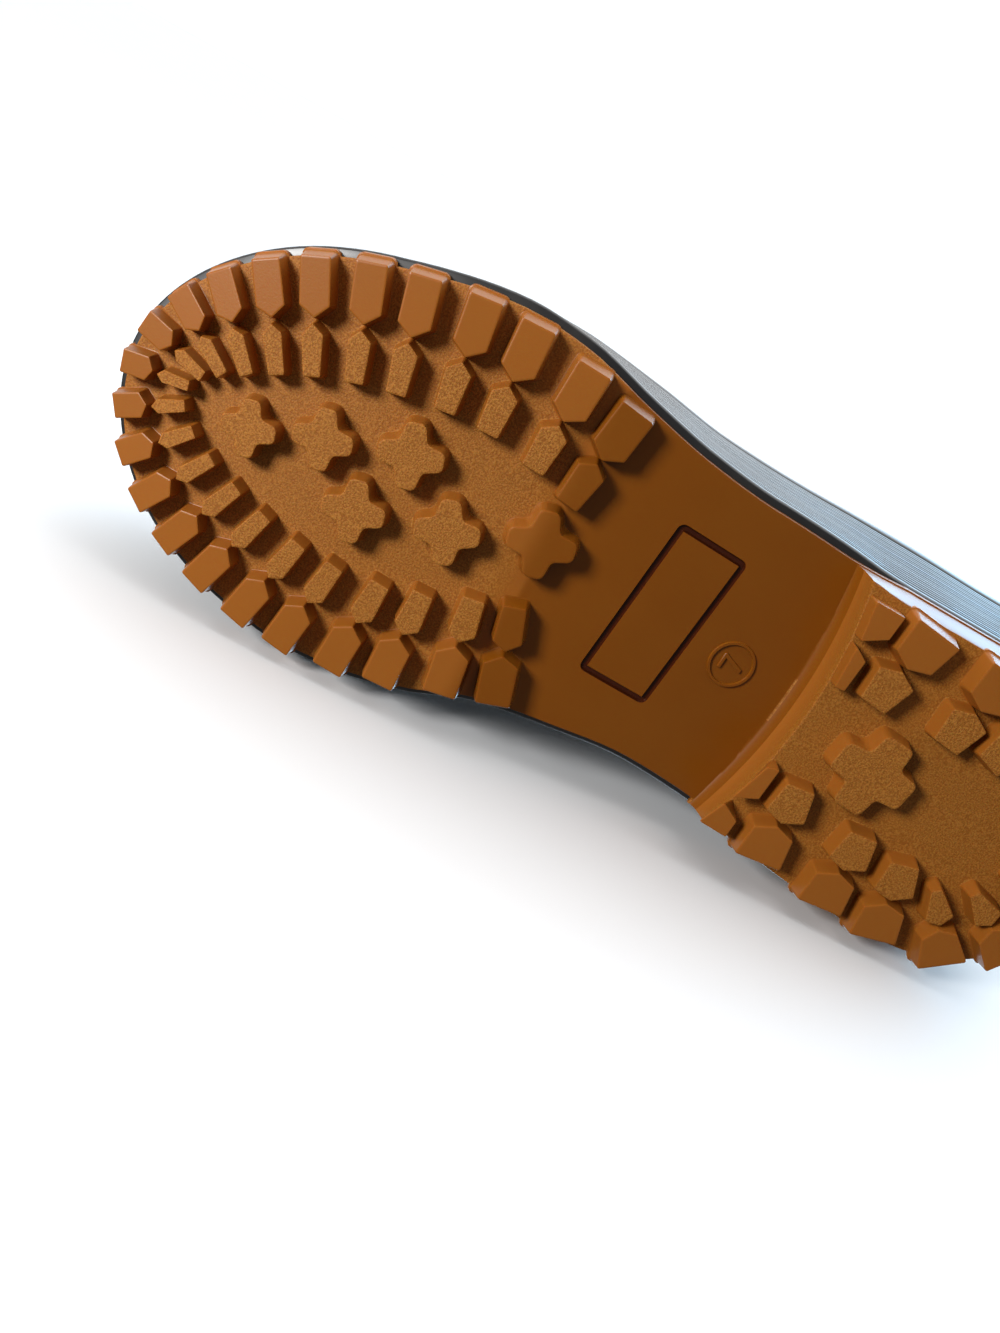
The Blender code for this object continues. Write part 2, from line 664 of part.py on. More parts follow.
def heel_bar(row: BarRow) -> tuple[list, list]:
    """Bar at the breast with a pointed end, the first lug of its row, whose front runs down to the plate."""
    side = math.copysign(1.0, row.start)

    def bar(front: BreastLine, grow: float, end: float) -> list[Vector]:
        """Plan of the bar, grown at its back and its tip, and at its outer end."""
        back = row.back - grow
        corners = ((breast(front, row.start), row.start + side * end),
                   (breast(front, row.tip), row.tip - side * grow),
                   (back, row.back_tip - side * grow), (back, row.back_start + side * end))
        return [Vector(corner) for corner in corners[::-int(side)]]

    low = [Vector((p.x, p.y, 0.0)) for p in bar(BAR_FRONT, 0.0, 0.0)]
    high = [Vector((p.x, p.y, tread_root(p.x) - BAR_SINK))
            for p in bar(BREAST_FOOT, LUG_DRAFT, BAR_END_DRAFT)]
    return prism([low, high])


def cleat(row: CleatRow, ground: Callable, root: Callable) -> tuple[list, list]:
    """Four-lobed cleat whose lobes have flat ends."""
    def lobes(grow: float) -> list[Vector]:
        """Plan of the cleat, grown all round."""
        points = []
        for k in range(CLEAT_LOBES):
            middle = row.turn + k * 360.0 / CLEAT_LOBES
            notch = middle + 180.0 / CLEAT_LOBES
            for degrees, share in ((middle - row.lobe, 1.0), (middle + row.lobe, 1.0), (notch, CLEAT_NOTCH)):
                reach, angle = row.size * share + grow, math.radians(degrees)
                points.append(Vector((row.x + reach * math.cos(angle), row.y + reach * math.sin(angle))))
        return points
    return lug_prism(lobes, ground, root)


def build_outsole(parent: bpy.types.Object, material: bpy.types.Material) -> None:
    """Gum outsole: plate with arch and toe spring, heel, lugs and cleats."""
    plate = ladder_slab(plan_loop(OUTSOLE), lambda x: seat(x) - PLATE_THICKNESS, seat)
    outsole = add_piece("outsole", [plate], parent)
    outer, inner = zip(*forefoot_lugs(), *heel_lugs())
    cleats = [cleat(row, tread_ground, tread_root) for row in CLEATS]
    join_shapes(outsole, "heel_block", [heel_block()])
    join_shapes(outsole, "outer_lugs", [*outer, *map(heel_bar, HEEL_BARS)])
    join_shapes(outsole, "inner_lugs", inner)
    join_shapes(outsole, "cleats", [*cleats, cleat(HEEL_CLEAT, heel_ground, heel_root)])
    finish_piece(outsole, material, sharp_degrees=30.0)


def build_insole(parent: bpy.types.Object, material: bpy.types.Material) -> None:
    """Insole on the outsole's plate, inside the upper."""
    loop = plan_loop(OUTSOLE, -UPPER_INSET - UPPER_WALL - INSOLE_CLEARANCE)
    slab = ladder_slab(loop, lambda x: seat(x) + GAP, lambda x: seat(x) + GAP + INSOLE_THICKNESS)
    insole = add_piece("insole", [slab], parent)
    finish_piece(insole, material, sharp_degrees=40.0)


def lay_over(lying: bpy.types.Object) -> None:
    """Turn the standing boot onto its inner side, with the middle of its underside at the origin."""
    onto_side = Matrix(((-1, 0, 0, 0), (0, 0, 1, 0), (0, 1, 0, 0), (0, 0, 0, 1)))
    tilt = Matrix.Rotation(math.radians(LAY_TILT), 4, "X")
    pitch = Matrix.Rotation(math.radians(LAY_PITCH), 4, "Y")
    turned = tilt @ pitch @ onto_side
    points = [turned @ vertex.co for piece in lying.children for vertex in piece.data.vertices]
    low = Vector([min(p[k] for p in points) for k in range(3)])
    high = Vector([max(p[k] for p in points) for k in range(3)])
    middle = (low + high) / 2.0
    lying.matrix_world = Matrix.Translation((-middle.x, -middle.y, -low.z)) @ turned


def main() -> None:
    """Build the boot."""
    for thing in list(bpy.data.objects):
        bpy.data.objects.remove(thing)
    lying = bpy.data.objects.new("lying", None)
    bpy.context.scene.collection.objects.link(lying)
    build_outsole(lying, rubber("gum", GUM_RUBBER, roughness=0.45))
    build_sidewall(lying, rubber("sidewall", BLACK_RUBBER, roughness=0.5))
    build_upper(lying, rubber("upper", BLACK_RUBBER, roughness=0.4))
    build_insole(lying, rubber("insole", LINING_GREY, roughness=0.9))
    lay_over(lying)


main()
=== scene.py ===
"""Ankle-height rain boot for the left foot, lying on its inner side.

The boot is worked out standing, in millimetres: x from the back of the heel to the toe, y to the outer
side of the foot and z up from the ground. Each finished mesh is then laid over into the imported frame.
"""
import json
import logging
import math
from dataclasses import dataclass, field
from enum import Enum
from typing import Any, Callable, NamedTuple, Optional, Sequence, Union

import bpy
from mathutils import Matrix, Vector

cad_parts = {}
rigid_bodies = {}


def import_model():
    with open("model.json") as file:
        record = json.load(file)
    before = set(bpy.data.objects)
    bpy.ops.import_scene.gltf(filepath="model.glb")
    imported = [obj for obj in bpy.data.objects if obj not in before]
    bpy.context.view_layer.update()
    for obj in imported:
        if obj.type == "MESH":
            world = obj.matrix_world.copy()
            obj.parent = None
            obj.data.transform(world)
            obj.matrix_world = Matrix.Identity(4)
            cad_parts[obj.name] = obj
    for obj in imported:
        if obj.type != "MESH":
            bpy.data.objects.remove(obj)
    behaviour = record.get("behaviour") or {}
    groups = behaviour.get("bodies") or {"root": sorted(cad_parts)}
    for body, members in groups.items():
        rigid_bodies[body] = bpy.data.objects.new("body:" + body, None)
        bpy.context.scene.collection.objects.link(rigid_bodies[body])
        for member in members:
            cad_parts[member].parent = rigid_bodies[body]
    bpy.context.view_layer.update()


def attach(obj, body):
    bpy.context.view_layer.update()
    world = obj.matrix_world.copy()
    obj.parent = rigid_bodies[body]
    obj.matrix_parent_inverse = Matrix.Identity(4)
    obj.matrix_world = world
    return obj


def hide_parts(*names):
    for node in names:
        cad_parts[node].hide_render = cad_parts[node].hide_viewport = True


MILLIMETRE = 0.001
TURN = 2.0 * math.pi
# Inset and rise of the middle of a rounded edge whose radius is 1.
SOFT = 1.0 - math.sqrt(0.5)
WHOLE = (1.0, 1.0, 1.0)
SQUARE = ((-1, -1), (1, -1), (1, 1), (-1, 1))
BODY = "root"
LOG = logging.getLogger("rain_boot")

Shell = tuple[list[Vector], list[tuple[int, ...]]]


class Slot(Enum):
    """Material slots of the record."""

    GUM = "gum_rubber"
    SIDEWALL = "sidewall_rubber"
    UPPER = "upper_rubber"
    INSOLE = "insole_cloth"


class LugKind(Enum):
    """Shapes of lug, in the order that the tread's tree picks them."""

    OUTER = 0
    INNER = 1
    INNER_SMOOTH = 2
    HEEL_OUTER = 3
    HEEL_OUTER_BACK = 4
    HEEL_INNER = 5
    HEEL_INNER_BACK = 6
    CLEAT = 7
    CLEAT_SMOOTH = 8
    HEEL_CLEAT = 9


class Section(NamedTuple):
    """Middle and half-width of an outline at one place along the boot."""

    x: float
    centre: float
    half: float


class Level(NamedTuple):
    """Height of a line at one place along the boot."""

    x: float
    z: float


class Ring(NamedTuple):
    """One ring of the upper, from its back to its front."""

    back_x: float
    back_z: float
    front_x: float
    front_z: float
    half: float
    oval: float


class CleatPlace(NamedTuple):
    """Place, turn in degrees, reach and shape of a four-lobed cleat."""

    x: float
    y: float
    turn: float
    size: float
    kind: LugKind


class BreastLine(NamedTuple):
    """Line across the front of the heel: its place in the middle, its slant and how far it bows forward."""

    x: float
    slant: float
    bow: float

    def at(self, y: float) -> float:
        """Place of the line along the boot at a place across it."""
        return self.x + self.slant * y + self.bow * y * y


class BarPlace(NamedTuple):
    """A bar at the breast: the two ends of its front and of its back across the heel, and its back."""

    start: float
    tip: float
    back_start: float
    back_tip: float
    back: float


class AimLine(NamedTuple):
    """Where on the middle line the first lug of a side points, and how fast the next ones follow."""

    x: float
    rate: float


class WallStep(NamedTuple):
    """Share of the sidewall's height and depth below its face."""

    share: float
    depth: float


class LugPlace(NamedTuple):
    """Where a lug's end stands, which way it points, its scale and its shape."""

    at: Vector
    angle: float
    scale: tuple[float, float, float]
    kind: LugKind


class LugPlan(NamedTuple):
    """Length of a lug, the width of its flat end and its greatest width."""

    length: float
    flat: float
    wide: float


class LugShape(NamedTuple):
    """Corners of a kind of lug, the grain of its ground face and how far its flat end leans out."""

    corners: list
    grain: float
    lean: float = 0.0


class LugSize(NamedTuple):
    """Size of a row of lugs: length and width at the waist, loss of length and width at the toe."""

    length: float
    toe_cut: float
    width: float
    toe_width: float

    def length_at(self, toe: float) -> float:
        """Length of a lug by how near it is to the middle of the toe."""
        return self.length - self.toe_cut * toe

    def scale(self, toe: float, side: float) -> tuple[float, float, float]:
        """Scale of a lug, where side is its share of the way from the toe to the waist."""
        return self.length_at(toe) / self.length, mix(self.toe_width, self.width, side) / self.width, 1.0


class Crease(NamedTuple):
    """A soft fold across the upper: its height share, spread, depth and half-width round the boot."""

    share: float
    spread: float
    depth: float
    reach: float


def eased(rows: Sequence[Any], column: str, x: float) -> float:
    """Read a table on a smooth curve through its rows.

    Args:
        rows: table with an x column, in rising order.
        column: name of the column that is read.
        x: place along the boot.

    Returns:
        The column's value at x.
    """
    if x <= rows[0].x:
        return getattr(rows[0], column)
    if x >= rows[-1].x:
        return getattr(rows[-1], column)
    k = max(i for i in range(len(rows) - 1) if rows[i].x <= x)

    def slope(i: int) -> float:
        """Slope at row i, flat where the column turns."""
        if i in (0, len(rows) - 1):
            return 0.0
        before = (getattr(rows[i], column) - getattr(rows[i - 1], column)) / (rows[i].x - rows[i - 1].x)
        after = (getattr(rows[i + 1], column) - getattr(rows[i], column)) / (rows[i + 1].x - rows[i].x)
        return 0.0 if before * after <= 0.0 else 2.0 * before * after / (before + after)

    span = rows[k + 1].x - rows[k].x
    t = (x - rows[k].x) / span
    start, end = getattr(rows[k], column), getattr(rows[k + 1], column)
    rise = end - start
    first, last = slope(k) * span, slope(k + 1) * span
    return start + t * (first + t * (3.0 * rise - 2.0 * first - last + t * (first + last - 2.0 * rise)))


def mix(start: float, end: float, share: float) -> float:
    """Value at a share of the way between two others."""
    return start + (end - start) * share


def between(x: float, start: float, end: float) -> float:
    """Share of the way from start to end at x, from 0 to 1."""
    return min(1.0, max(0.0, (x - start) / (end - start)))


def table(row: type, *values: tuple) -> tuple:
    """Rows of a table from their plain numbers."""
    return tuple(row(*numbers) for numbers in values)


def rounded_edge(radius: float) -> list[tuple[float, float]]:
    """Offset and rise of the three rings that round a lower edge."""
    return [(-radius, 0.0), (-radius * SOFT, radius * SOFT), (0.0, radius)]


def offset_loop(loop: Sequence[Vector], offset: float) -> list[Vector]:
    """Move a closed, counter-clockwise plan loop outward along its normals."""
    moved = []
    for i, point in enumerate(loop):
        along = loop[(i + 1) % len(loop)] - loop[i - 1]
        moved.append(point + offset * Vector((along.y, -along.x)).normalized())
    return moved


def rounded_corners(corners: Sequence[Vector], grow: float, radius: float, steps: int) -> list[Vector]:
    """Move an outline outward and round its corners, the inward ones too.

    Args:
        corners: corners of the outline, counter-clockwise.
        grow: distance outward.
        radius: radius of the rounded corners.
        steps: facets of each corner.

    Returns:
        Points of the rounded outline.
    """
    points = []
    for i, here in enumerate(corners):
        along = (here - corners[i - 1]).normalized()
        onward = (corners[(i + 1) % len(corners)] - here).normalized()
        normal, next_normal = Vector((along.y, -along.x)), Vector((onward.y, -onward.x))
        mitre = (normal + next_normal) / (1.0 + normal.dot(next_normal))
        reach = radius if along.cross(onward) > 0.0 else -radius
        centre = here + (grow - reach) * mitre
        sweep = math.copysign(math.acos(max(-1.0, min(1.0, normal.dot(next_normal)))), reach)
        start = math.atan2(normal.y, normal.x)
        for k in range(steps + 1):
            angle = start + sweep * k / steps
            points.append(centre + reach * Vector((math.cos(angle), math.sin(angle))))
    return points


def bands(levels: int, count: int, closed: bool) -> list[tuple[int, ...]]:
    """Faces between rings of as many points, with the last ring joined to the first where closed."""
    faces = []
    for k in range(levels if closed else levels - 1):
        low, high = k * count, (k + 1) % levels * count
        faces += [(low + i, low + (i + 1) % count, high + (i + 1) % count, high + i) for i in range(count)]
    return faces


def looped(rings: Sequence[Sequence[Vector]]) -> Shell:
    """Vertices and faces of a tube of rings whose last ring joins its first."""
    return [point for ring in rings for point in ring], bands(len(rings), len(rings[0]), True)


def stacked(rings: Sequence[Sequence[Vector]], columns: int = 0) -> Shell:
    """Close a stack of rings into a shell.

    Args:
        rings: rings of as many points, from the lowest to the highest, counter-clockwise from above.
        columns: where the two ends bend along the boot, how many faces they have from side to side.

    Returns:
        Vertices and faces.
    """
    count = len(rings[0])
    vertices = [point for ring in rings for point in ring]
    faces = bands(len(rings), count, False)
    top = (len(rings) - 1) * count
    if not columns:
        return vertices, [*faces, tuple(reversed(range(count))), tuple(range(top, top + count))]
    for start, flip in ((0, True), (top, False)):
        rungs = [[start] * (columns + 1)]
        for i in range(1, count // 2):
            left, right = start + i, start + count - i
            first = len(vertices)
            vertices += [vertices[left].lerp(vertices[right], k / columns) for k in range(1, columns)]
            rungs.append([left, *range(first, first + columns - 1), right])
        rungs.append([start + count // 2] * (columns + 1))
        for here, onward in zip(rungs, rungs[1:]):
            for k in range(columns):
                quad = [here[k], onward[k], onward[k + 1], here[k + 1]]
                corners = [v for n, v in enumerate(quad) if v not in quad[:n]]
                faces.append(tuple(corners[::-1] if flip else corners))
    return vertices, faces


def lifted(loop: Sequence[Vector], height: float) -> list[Vector]:
    """Points of a plan at one height."""
    return [Vector((p.x, p.y, height)) for p in loop]


def new_object(name: str, shell: Shell) -> bpy.types.Object:
    """Make an object of a shell and link it to the scene."""
    mesh = bpy.data.meshes.new(name)
    mesh.from_pydata(shell[0], [], shell[1])
    thing = bpy.data.objects.new(name, mesh)
    bpy.context.scene.collection.objects.link(thing)
    return thing


def applied(thing: bpy.types.Object) -> bpy.types.Object:
    """Turn an object's modifiers into its plain mesh."""
    graph = bpy.context.evaluated_depsgraph_get()
    shown = thing.evaluated_get(graph)
    mesh = bpy.data.meshes.new_from_object(shown, preserve_all_data_layers=True, depsgraph=graph)
    thing.modifiers.clear()
    thing.data = mesh
    mesh.name = thing.name
    return thing


def discard(things: Sequence[bpy.types.Object]) -> None:
    """Remove objects that only helped to make a piece."""
    for thing in things:
        bpy.data.objects.remove(thing)


def set_layer(thing: bpy.types.Object, name: str, kind: str, domain: str, values: Sequence[float]) -> None:
    """Give a mesh a named layer of values, those of vectors end to end."""
    key = "vector" if kind == "FLOAT_VECTOR" else "value"
    thing.data.attributes.new(name, kind, domain).data.foreach_set(key, values)


Term = Union["Socket", float, int]


def maths(operation: str, swapped: bool = False) -> Callable:
    """Make a method that puts a socket and another value through a Math node.

    Args:
        operation: the node's operation.
        swapped: whether the other value comes first.

    Returns:
        The method.
    """
    def method(self: "Socket", other: Term = 0.0) -> "Socket":
        """Result of the node."""
        first, second = (other, self) if swapped else (self, other)
        return self.graph.node("ShaderNodeMath", {"operation": operation}, {0: first, 1: second})

    return method


class Socket:
    """A node's output that Python's operators work on."""

    __add__ = __radd__ = maths("ADD")
    __sub__, __rsub__ = maths("SUBTRACT"), maths("SUBTRACT", swapped=True)
    __mul__ = __rmul__ = maths("MULTIPLY")
    __truediv__, __abs__ = maths("DIVIDE"), maths("ABSOLUTE")
    nearest, above = maths("ROUND"), maths("GREATER_THAN")

    def __init__(self, graph: "Graph", output: bpy.types.NodeSocket) -> None:
        """Keep the output and the graph that it belongs to."""
        self.graph = graph
        self.output = output

    def ramp(self, start: float, end: float) -> "Socket":
        """Smooth step from 0 at start to 1 at end."""
        settings = {"interpolation_type": "SMOOTHSTEP", "clamp": True}
        return self.graph.node("ShaderNodeMapRange", settings, {0: self, 1: start, 2: end})


class Graph:
    """A node tree that is written as expressions."""

    def __init__(self, tree: bpy.types.NodeTree) -> None:
        """Keep the tree."""
        self.tree = tree

    def node(self, kind: str, settings: Optional[dict] = None, inputs: Optional[dict] = None,
             output: Union[int, str] = 0) -> Socket:
        """Add a node.

        Args:
            kind: the node's type.
            settings: its properties, set first.
            inputs: values or links of its sockets, by name or number.
            output: which of its outputs is handed back.

        Returns:
            The chosen output.
        """
        made = self.tree.nodes.new(kind)
        for key, value in (settings or {}).items():
            setattr(made, key, value)
        for key, value in (inputs or {}).items():
            self.feed(made, key, value)
        return Socket(self, made.outputs[output])

    def feed(self, made: bpy.types.Node, key: Union[int, str], value: Any) -> None:
        """Link or set one of a node's sockets."""
        if isinstance(value, Socket):
            self.tree.links.new(value.output, made.inputs[key])
        else:
            made.inputs[key].default_value = value

    def blend(self, share: Term, first: Any, second: Any) -> Socket:
        """Mix two colours or links, where share is how much of the second shows."""
        values = {0: share}
        for key, colour in ((6, first), (7, second)):
            values[key] = colour if isinstance(colour, Socket) else (*colour, 1.0)
        return self.node("ShaderNodeMix", {"data_type": "RGBA", "clamp_factor": True}, values, output=2)

    def place(self) -> Socket:
        """Place on the object, in metres."""
        return self.node("ShaderNodeTexCoord", output="Object")

    def noise(self, scale: float, detail: float = 2.0, roughness: float = 0.5) -> Socket:
        """Soft clouds on the object, so many to the metre."""
        return self.node("ShaderNodeTexNoise", inputs={
            "Vector": self.place(), "Scale": scale, "Detail": detail, "Roughness": roughness})

    def bump(self, strength: float, distance: float, height: Socket) -> Socket:
        """Normal of a surface that a height raises by up to a distance."""
        return self.node("ShaderNodeBump", inputs={
            "Strength": strength, "Distance": distance, "Height": height}, output="Normal")


class Finish:
    """A material whose nodes a subclass draws."""

    name = "finish"
    roughness = 0.5
    specular = 0.5

    def draw(self, graph: Graph) -> dict[str, Any]:
        """Draw the nodes and hand back links and values by the names of the shader's sockets."""
        return {}

    def material(self) -> bpy.types.Material:
        """Make the material."""
        made = bpy.data.materials.new(self.name)
        made.use_nodes = True
        graph = Graph(made.node_tree)
        shader = made.node_tree.nodes["Principled BSDF"]
        values = {"Roughness": self.roughness, "Specular IOR Level": self.specular, **self.draw(graph)}
        for key, value in values.items():
            graph.feed(shader, key, value)
        return made


@dataclass(frozen=True)
class GumFinish(Finish):
    """Translucent caramel rubber: sandy on the tread's floor, smooth on the waist and the outer lugs, with
    painted shade: a darker colour on the unsanded waist and near-black in the frame's groove.
    """

    name: str = "gum_rubber"
    specular: float = 0.28
    # Darker colour of unsanded faces, mostly the recessed waist: painted shade, not the rubber's own colour.
    waist_shade_colour: tuple = (0.215, 0.062, 0.003)
    colour: tuple = (0.330, 0.106, 0.013)
    sand_colour: tuple = (0.435, 0.172, 0.025)
    pit_colour: tuple = (0.268, 0.088, 0.007)
    # Near-black colour of the frame's groove: painted shade in the groove.
    groove_shade_colour: tuple = (0.050, 0.009, 0.002)
    sand_per_metre: float = 2400.0
    sand_break_up: float = 0.6
    sand_depth: float = 0.00025
    sand_bump: float = 0.9
    sand_roughness: float = 0.62
    smooth_roughness: float = 0.30
    cloud_per_metre: float = 38.0
    cloud_tone: float = 0.25
    cloud_roughness: float = 0.05
    cloud_height: float = 0.10
    waist_m: tuple = (-0.028, 0.030)
    fade_m: tuple = (0.012, 0.001)
    tone_ramp: tuple = (0.0, 0.1)
    cloud_ramp: tuple = (0.30, 0.75)
    speck_ramp: tuple = (0.36, 0.66)
    dust_ramp: tuple = (0.1, 0.6)
    glow: float = 0.2
    glow_radius: tuple = (1.0, 0.30, 0.06)
    glow_m: float = 0.002

    def draw(self, graph: Graph) -> dict[str, Any]:
        """Draw the sand, the clouding, the glow and the painted shade of the waist and the groove."""
        along = graph.node("ShaderNodeSeparateXYZ", inputs={0: graph.place()}, output="X")
        grain = graph.node("ShaderNodeAttribute", {"attribute_name": Outsole.GRAIN}, output="Fac")
        front = 1.0 - along.ramp(self.waist_m[0] - self.fade_m[0], self.waist_m[0])
        back = along.ramp(self.waist_m[1], self.waist_m[1] + self.fade_m[1])
        sand = grain * (front + back)
        speck = graph.noise(self.sand_per_metre, roughness=self.sand_break_up)
        cloud = graph.noise(self.cloud_per_metre)
        # Painted shade: unsanded faces, mostly the recessed waist, take the darker colour.
        tone = graph.blend(sand.ramp(*self.tone_ramp), self.waist_shade_colour, self.colour)
        clouded = graph.blend(self.cloud_tone * cloud.ramp(*self.cloud_ramp), tone, self.pit_colour)
        dusted = graph.blend(grain * speck.ramp(*self.speck_ramp), self.pit_colour, self.sand_colour)
        skin = graph.blend(sand.ramp(*self.dust_ramp), clouded, dusted)
        # Painted shade: the groove's faces are turned near-black.
        shaded_groove = 1.0 - grain.ramp(Outsole.GROOVE_SHADE_GRAIN, 0.0)
        rise = self.sand_roughness - self.smooth_roughness
        return {
            "Base Color": graph.blend(shaded_groove, skin, self.groove_shade_colour),
            "Roughness": self.smooth_roughness + rise * sand + self.cloud_roughness * cloud,
            "Normal": graph.bump(self.sand_bump, self.sand_depth, sand * speck + self.cloud_height * cloud),
            "Subsurface Weight": self.glow,
            "Subsurface Radius": self.glow_radius,
            "Subsurface Scale": self.glow_m}


@dataclass(frozen=True)
class BlackRubberFinish(Finish):
    """Satin black rubber with faint clouds in its gloss."""

    name: str = "black_rubber"
    roughness: float = 0.38
    specular: float = 0.5
    colour: tuple = (0.011, 0.011, 0.012)
    worn_colour: tuple = (0.022, 0.021, 0.020)
    worn_ramp: tuple = (0.4, 0.75)
    cloud_per_metre: float = 60.0
    cloud_detail: float = 4.0
    cloud_break_up: float = 0.6
    cloud_low: float = 0.06
    cloud_range: float = 0.14
    fine_per_metre: float = 1400.0
    fine_depth: float = 0.00004
    fine_bump: float = 0.5

    def draw(self, graph: Graph) -> dict[str, Any]:
        """Draw the clouds and the fine skin."""
        cloud = graph.noise(self.cloud_per_metre, self.cloud_detail, self.cloud_break_up)
        return {
            "Base Color": graph.blend(cloud.ramp(*self.worn_ramp), self.colour, self.worn_colour),
            "Roughness": self.roughness - self.cloud_low + self.cloud_range * cloud,
            "Normal": graph.bump(self.fine_bump, self.fine_depth, graph.noise(self.fine_per_metre))}


@dataclass(frozen=True)
class KnitFinish(Finish):
    """Dark knitted cloth in fine courses."""

    name: str = "knit"
    roughness: float = 0.9
    specular: float = 0.25
    colour: tuple = (0.075, 0.076, 0.082)
    dark_colour: tuple = (0.018, 0.018, 0.021)
    stitch_ramp: tuple = (0.25, 0.7)
    course_per_metre: float = 620.0
    wobble: float = 1.2
    depth: float = 0.0003
    stitch_bump: float = 0.8
    sheen: float = 0.3

    def draw(self, graph: Graph) -> dict[str, Any]:
        """Draw the courses and wales of the knit."""
        waves = [graph.node("ShaderNodeTexWave", {"bands_direction": direction}, {
            "Vector": graph.place(), "Scale": self.course_per_metre / TURN, "Distortion": self.wobble,
            "Detail": 1.0, "Detail Scale": 2.0}, output="Fac") for direction in "XYZ"]
        stitch = (waves[0] + waves[1] + waves[2]) / 3.0
        return {
            "Base Color": graph.blend(stitch.ramp(*self.stitch_ramp), self.dark_colour, self.colour),
            "Normal": graph.bump(self.stitch_bump, self.depth, stitch),
            "Sheen Weight": self.sheen}


@dataclass(frozen=True)
class PaperFinish(Finish):
    """Plain white studio floor."""

    name: str = "studio_floor"
    roughness: float = 0.75
    specular: float = 0.2
    colour: tuple = (0.925, 0.946, 0.968)
    shade: tuple = (0.910, 0.932, 0.955)
    cloud_per_metre: float = 3.0

    def draw(self, graph: Graph) -> dict[str, Any]:
        """Draw the floor's faint clouding."""
        return {"Base Color": graph.blend(graph.noise(self.cloud_per_metre), self.colour, self.shade)}


class NodeTree:
    """A Geometry Nodes tree with named inputs."""

    def __init__(self, name: str) -> None:
        """Start the tree with its geometry in and out."""
        self.tree = bpy.data.node_groups.new(name, "GeometryNodeTree")
        self.graph = Graph(self.tree)
        self.tree.interface.new_socket(name="Geometry", in_out="OUTPUT", socket_type="NodeSocketGeometry")
        self.keys: dict[str, str] = {}
        self.entry = self.tree.nodes.new("NodeGroupInput")
        self.exit = self.tree.nodes.new("NodeGroupOutput")
        self.geometry = self.ask("Geometry", "NodeSocketGeometry")

    def ask(self, name: str, kind: str) -> Socket:
        """Add a named input and hand back its socket."""
        item = self.tree.interface.new_socket(name=name, in_out="INPUT", socket_type=kind)
        self.keys[name] = item.identifier
        return Socket(self.graph, self.entry.outputs[name])

    def attribute(self, name: str, kind: str) -> Socket:
        """Read a named attribute of the geometry."""
        return self.graph.node("GeometryNodeInputNamedAttribute", {"data_type": kind}, {"Name": name})

    def close(self, geometry: Socket) -> None:
        """End the tree in Realize Instances and Set Material."""
        material = self.ask("Material", "NodeSocketMaterial")
        real = self.graph.node("GeometryNodeRealizeInstances", inputs={0: geometry})
        dressed = self.graph.node("GeometryNodeSetMaterial", inputs={"Geometry": real, "Material": material})
        self.tree.links.new(dressed.output, self.exit.inputs[0])

    def run(self, thing: bpy.types.Object, **values: Any) -> bpy.types.Object:
        """Run the tree on an object and keep the result as its mesh.

        Args:
            thing: object whose mesh goes in.
            values: the tree's inputs by name, with spaces as underscores.

        Returns:
            The object.
        """
        modifier = thing.modifiers.new(self.tree.name, "NODES")
        modifier.node_group = self.tree
        for name, value in values.items():
            modifier[self.keys[name.replace("_", " ")]] = value
        return applied(thing)


@dataclass(frozen=True)
class Outline:
    """A closed outline with a rounded heel and a rounded toe."""

    back: float
    front: float
    heel_round: float
    toe_round: float
    heel_power: float
    toe_power: float
    rows: tuple

    def rounding(self, x: float) -> float:
        """Share of the half-width that the rounded ends leave at x."""
        if x > self.toe_round:
            reach = min(1.0, (x - self.toe_round) / (self.front - self.toe_round))
            return math.sqrt(1.0 - reach ** self.toe_power)
        if x < self.heel_round:
            reach = min(1.0, (self.heel_round - x) / (self.heel_round - self.back))
            return math.sqrt(1.0 - reach ** self.heel_power)
        return 1.0

    def point(self, turn: float) -> Vector:
        """Point of the outline: turn 0 is the toe, a quarter the outer side, a half the heel."""
        x = self.back + (self.front - self.back) * (1.0 + math.cos(TURN * turn)) / 2.0
        side = math.copysign(1.0, math.sin(TURN * turn))
        reach = side * eased(self.rows, "half", x) * self.rounding(x)
        return Vector((x, eased(self.rows, "centre", x) + reach))

    def loop(self, offset: float, count: int) -> list[Vector]:
        """Points of the outline, moved outward by offset."""
        return offset_loop([self.point(i / count) for i in range(count)], offset)


